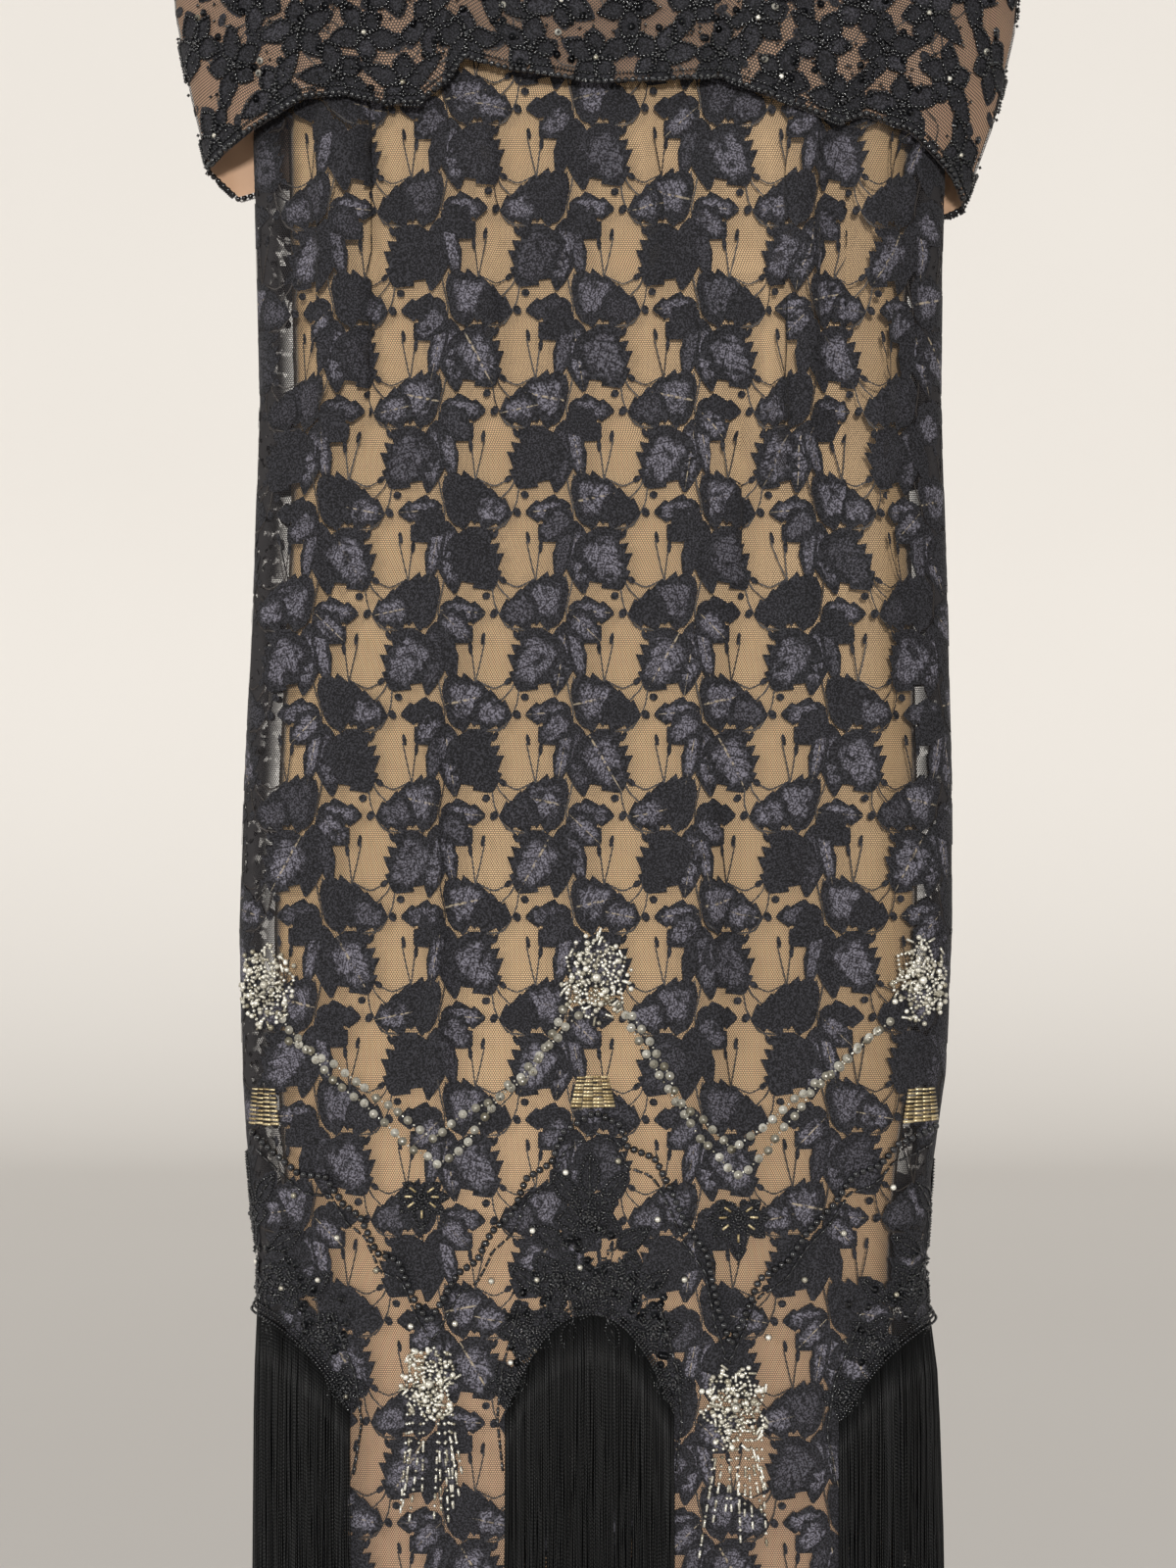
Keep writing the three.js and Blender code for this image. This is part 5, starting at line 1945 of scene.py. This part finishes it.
@dataclass
class FringePanels:
    """The fringe: arched black bead appliqués with long loose strands below."""

    form: BodyForm
    finishes: Finishes
    shapes: BeadShapes
    end: float = -1.440
    strands: int = 460
    strand: float = 0.00060
    steps: int = 10
    arch_power: float = 2.2
    fill: int = 150
    panels: tuple[Panel, ...] = (
        Panel("front", Side.FRONT, 0.0, -0.004, 0.053, -1.136, 0.062),
        Panel("left", Side.FRONT, -1.0, 0.0, 0.078, -1.140, 0.058),
        Panel("right", Side.FRONT, 1.0, 0.0, 0.082, -1.146, 0.058),
        Panel("back", Side.BACK, 0.0, 0.0, 0.053, -1.140, 0.060),
    )

    def middle(self, panel: Panel) -> float:
        """Return the panel's middle, in metres along the cloth of its half."""
        grid = self.form.grids[panel.side]
        if panel.seam:
            return float(np.mean(grid.low[-80:] if panel.seam < 0 else grid.high[-80:]))
        return float(self.form.arc_at(panel.side, np.array([panel.x]), np.array([panel.top]))[0])

    def fringe(self, number: int, panel: Panel) -> None:
        """Hang one panel's strands from its arch.

        Args:
            number: The panel's number, to vary it.
            panel: Its place and size.
        """
        chance = np.random.default_rng(SEED + 130 + number)
        middle = self.middle(panel)
        gathered = Gather()
        along = np.linspace(0.0, 1.0, self.steps)
        faces = []
        last = 3 * (self.steps - 1)
        for upper in range(0, last, 3):
            for corner, after in ((0, 1), (1, 2), (2, 0)):
                faces.append([upper + corner, upper + 3 + corner, upper + 3 + after, upper + after])
        faces += [[0, 1, 2], [last + 2, last + 1, last]]
        for index in range(self.strands):
            share = 2.0 * (index + chance.uniform(0.0, 1.0)) / self.strands - 1.0
            start = panel.top - panel.fall * abs(share) ** self.arch_power + 0.004
            stop = self.end + chance.uniform(-0.004, 0.010)
            height = mix(start, stop, along)
            sway = chance.uniform(-0.004, 0.004) * along ** 1.5
            sway = sway + 0.0011 * np.sin(along * chance.uniform(5, 12) + chance.uniform(0, 6)) * along
            arc = middle + share * panel.half + sway
            layer = 0.0012 + 0.0034 * chance.random() * smooth(along / 0.15)
            centre = self.form.place(panel.side, arc, height, layer)
            ring = np.arange(3) * 2 * math.pi / 3 + chance.uniform(0, 2)
            cross = np.stack([np.cos(ring), np.sin(ring), np.zeros(3)], axis=1) * self.strand
            points = (centre[:, None, :] + cross[None, :, :]).reshape(-1, 3)
            # Each strand's tone sets how much painted sheen its twist shows.
            tone = np.full(len(points), chance.random() ** 2)
            gathered.add(points, faces, np.zeros((len(points), 2)), tone)
        piece = gathered.build(f"fringe_strands_{panel.name}", [self.finishes.fringe])
        declare(piece, f"fringe_{panel.name}")

    def applique(self, number: int, panel: Panel) -> None:
        """Sew one panel's black flower and leaf appliqué above its fringe.

        Args:
            number: The panel's number, to vary it.
            panel: Its place and size.
        """
        ground = BodyGround(self.form, panel.side)
        beads = Beads(self.shapes, SEED + 140 + number)
        chance = beads.chance
        middle = np.array([self.middle(panel), panel.top])
        wide = panel.half
        for across, up, size in (
            (0.0, 0.066, 0.021), (-0.40, 0.026, 0.019), (0.42, 0.024, 0.019), (0.02, 0.018, 0.018),
            (-0.74, -0.006, 0.018), (0.76, -0.008, 0.018), (-0.95, -0.040, 0.015), (0.95, -0.040, 0.015),
        ):
            spot = middle + (across * wide, up)
            spin = chance.uniform(0, 72)
            for petal in range(5):
                turn = petal * 72.0 + spin
                ground_leaf(beads, ground, Lobe(spot[0], spot[1], turn, size * 1.15, size * 0.85), petal)
                for shrink in (1.0, 0.62):
                    loop = leaf_loop((0.0, 0.0), turn, size * shrink, size * 0.72 * shrink) + spot
                    beads.line(BeadKind.SEED, ground, loop,
                               pitch=SEED_PITCH, lift=0.0012 + 0.0006 * (1 - shrink))
            ring = ways(np.arange(6) * math.pi / 3) * 0.0034
            beads.sew(BeadKind.ROUND, ground, ring + spot, ring, lift=0.0016, scale=0.6)
            beads.sew(BeadKind.ROUND, ground, spot[None, :], UP, lift=0.0022, scale=0.8)
        for across, up, turn, length in (
            (0.0, 0.080, 90, 0.026), (-0.16, 0.075, 128, 0.024), (0.16, 0.075, 52, 0.024),
            (-0.30, 0.048, 150, 0.024), (0.32, 0.046, 30, 0.024), (-0.62, 0.020, 140, 0.022),
            (0.62, 0.018, 40, 0.022), (-0.2, 0.000, 250, 0.018), (0.22, 0.000, 290, 0.018),
        ):
            spot = middle + (across * wide, up)
            ground_leaf(beads, ground, Lobe(spot[0], spot[1], turn, length * 1.1, length * 0.6), 5)
            loop = leaf_loop((0.0, 0.0), turn, length, length * 0.45) + spot
            beads.line(BeadKind.SEED, ground, loop, pitch=SEED_PITCH, lift=0.0014)
            rib = leaf_loop((0.0, 0.0), turn, length * 0.85, 0.0)[:9] + spot
            beads.line(BeadKind.BUGLE, ground, rib, pitch=0.0062, lift=0.0014, scale=0.8)
        share = np.linspace(-1.0, 1.0, 41)
        sag = panel.fall * np.abs(share) ** self.arch_power
        arch = np.stack([share * wide, 0.005 - sag], axis=1) + middle
        for rise in (0.0, 0.0028, 0.0056):
            beads.line(BeadKind.SEED, ground, arch + (0.0, rise),
                       pitch=SEED_PITCH, lift=0.0052 - rise * 0.5)
        fill = np.stack([chance.uniform(-1, 1, self.fill), chance.random(self.fill)], axis=1)
        top = 0.018 + 0.050 * (1.0 - np.abs(fill[:, 0]))
        foot = 0.004 - panel.fall * np.abs(fill[:, 0]) ** self.arch_power
        flat = np.stack([fill[:, 0] * wide, mix(foot, top, fill[:, 1])], axis=1) + middle
        way = ways(fill[:, 0] * 40)
        bugles, sequins, seeds, crystals = slice(0, 60), slice(60, 120), slice(60, None), slice(146, None)
        beads.sew(BeadKind.BUGLE, ground, flat[bugles], way[bugles], lift=0.0013, scale=0.75)
        beads.sew(BeadKind.SEQUIN, ground, flat[sequins], way[sequins],
                  lift=0.0010, scale=0.85, upright=True)
        beads.sew(BeadKind.SEED, ground, flat[seeds], way[seeds], lift=0.0018, scale=1.1)
        beads.sew(BeadKind.CRYSTAL, ground, flat[crystals], way[crystals],
                  lift=0.0026, slot=1, scale=0.85, upright=True)
        for sign in (-1.0, 1.0):
            edge = np.array([(0.86, 0.004), (1.04, -0.030), (1.10, -0.062), (1.04, -0.092)])
            path = edge * (sign * wide, 1.0) + middle
            beads.line(BeadKind.BUGLE, ground, path, pitch=0.0068, lift=0.0014)
        materials = [self.finishes.jet, self.finishes.clear, self.finishes.leaf]
        piece = beads.build(f"applique_beads_{panel.name}", materials)
        declare(piece, f"applique_{panel.name}")

    def build(self) -> None:
        """Build every panel."""
        for number, panel in enumerate(self.panels):
            self.fringe(number, panel)
            self.applique(number, panel)


@dataclass
class Hanger:
    """The plain wooden hanger with its wire hook, kept from the frame and finished."""

    finishes: Finishes

    def build(self) -> None:
        """Give the hanger's two nodes their finishes."""
        for node, finish in (("hanger_arms", self.finishes.wood), ("hanger_hook", self.finishes.steel)):
            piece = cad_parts[node]
            piece.data.materials.clear()
            piece.data.materials.append(finish)
            LOG.info("%s finished", node)


@dataclass
class Studio:
    """Pale floor and wall, soft light from three sides, and the camera."""

    floor: float = -1.62
    wall: float = 6.0
    half: float = 9.0
    bend: float = 1.6
    wall_top: float = 6.0
    camera: tuple[float, float, float] = (-0.005, -1.945, -0.797)
    lens: float = 69.0
    pale: tuple[Colour, Colour] = ((0.585, 0.565, 0.54), (0.62, 0.605, 0.58))
    room: Colour = (1.0, 0.965, 0.93)
    room_strength: float = 0.5
    lamp_colour: Colour = (1.0, 0.975, 0.94)

    def backdrop(self) -> None:
        """Build the floor that curves up into the wall."""
        turn = np.linspace(0.0, math.pi / 2, 13)
        line = [(-self.half, self.floor)]
        line += [(self.wall - self.bend + self.bend * math.sin(a), self.floor + self.bend * (1 - math.cos(a)))
                 for a in turn]
        line.append((self.wall, self.wall_top))
        shape = bmesh.new()
        first = [shape.verts.new((-self.half, y, z)) for y, z in line]
        edges = [shape.edges.new(pair) for pair in zip(first[:-1], first[1:])]
        made = bmesh.ops.extrude_edge_only(shape, edges=edges)
        moved = [part for part in made["geom"] if isinstance(part, bmesh.types.BMVert)]
        bmesh.ops.translate(shape, verts=moved, vec=(2 * self.half, 0.0, 0.0))
        bmesh.ops.recalc_face_normals(shape, faces=shape.faces[:])
        mesh = bpy.data.meshes.new("backdrop")
        shape.to_mesh(mesh)
        shape.free()
        nodes = Nodes("backdrop")
        colour = nodes.blend(nodes.noise(nodes.place(), 0.6), *self.pale)
        piece = show("backdrop", mesh, [nodes.put(Base_Color=colour, Roughness=0.95)])

    def light(self) -> None:
        """Set up the soft lamps and the pale room."""
        scene = bpy.context.scene
        scene.view_settings.view_transform = "Standard"
        scene.cycles.max_bounces = 5
        scene.cycles.diffuse_bounces = 2
        scene.cycles.glossy_bounces = 2
        world = bpy.data.worlds.new("room")
        world.use_nodes = True
        air = world.node_tree.nodes["Background"]
        air.inputs["Color"].default_value = (*self.room, 1.0)
        air.inputs["Strength"].default_value = self.room_strength
        scene.world = world
        for name, power, angle, way in (
            ("front", 2.25, 7.0, (82.0, 0.0, 2.0)),
            ("left", 1.1, 16.0, (74.0, 0.0, -58.0)),
            ("behind", 2.2, 25.0, (66.0, 0.0, 168.0)),
        ):
            lamp = bpy.data.lights.new(name, "SUN")
            lamp.energy = power
            lamp.angle = math.radians(angle)
            lamp.color = self.lamp_colour
            holder = bpy.data.objects.new(name, lamp)
            holder.rotation_euler = [math.radians(value) for value in way]
            scene.collection.objects.link(holder)

    def look(self) -> None:
        """Place the camera straight in front of the dress."""
        lens = bpy.data.cameras.new("camera")
        lens.lens = self.lens
        holder = bpy.data.objects.new("camera", lens)
        holder.location = self.camera
        holder.rotation_euler = (math.pi / 2, 0.0, 0.0)
        bpy.context.scene.collection.objects.link(holder)
        bpy.context.scene.camera = holder

    def build(self) -> None:
        """Build the whole studio."""
        self.backdrop()
        self.light()
        self.look()


def main() -> None:
    """Build the dress piece by piece, then the studio round it."""
    logging.basicConfig(level=logging.INFO, format="%(name)s %(message)s")
    finishes = Finishes.make()
    shapes = BeadShapes()
    body = BodyForm()
    Slip(SlipForm(), finishes).build()
    Lace(body, finishes).build()
    Yoke(YokeForm(), YokeForm(sunk=0.0018), finishes, shapes).build()
    Beadwork(body, finishes, shapes).build()
    FringePanels(body, finishes, shapes).build()
    Hanger(finishes).build()
    Studio().build()


if __name__ == "__main__":
    main()
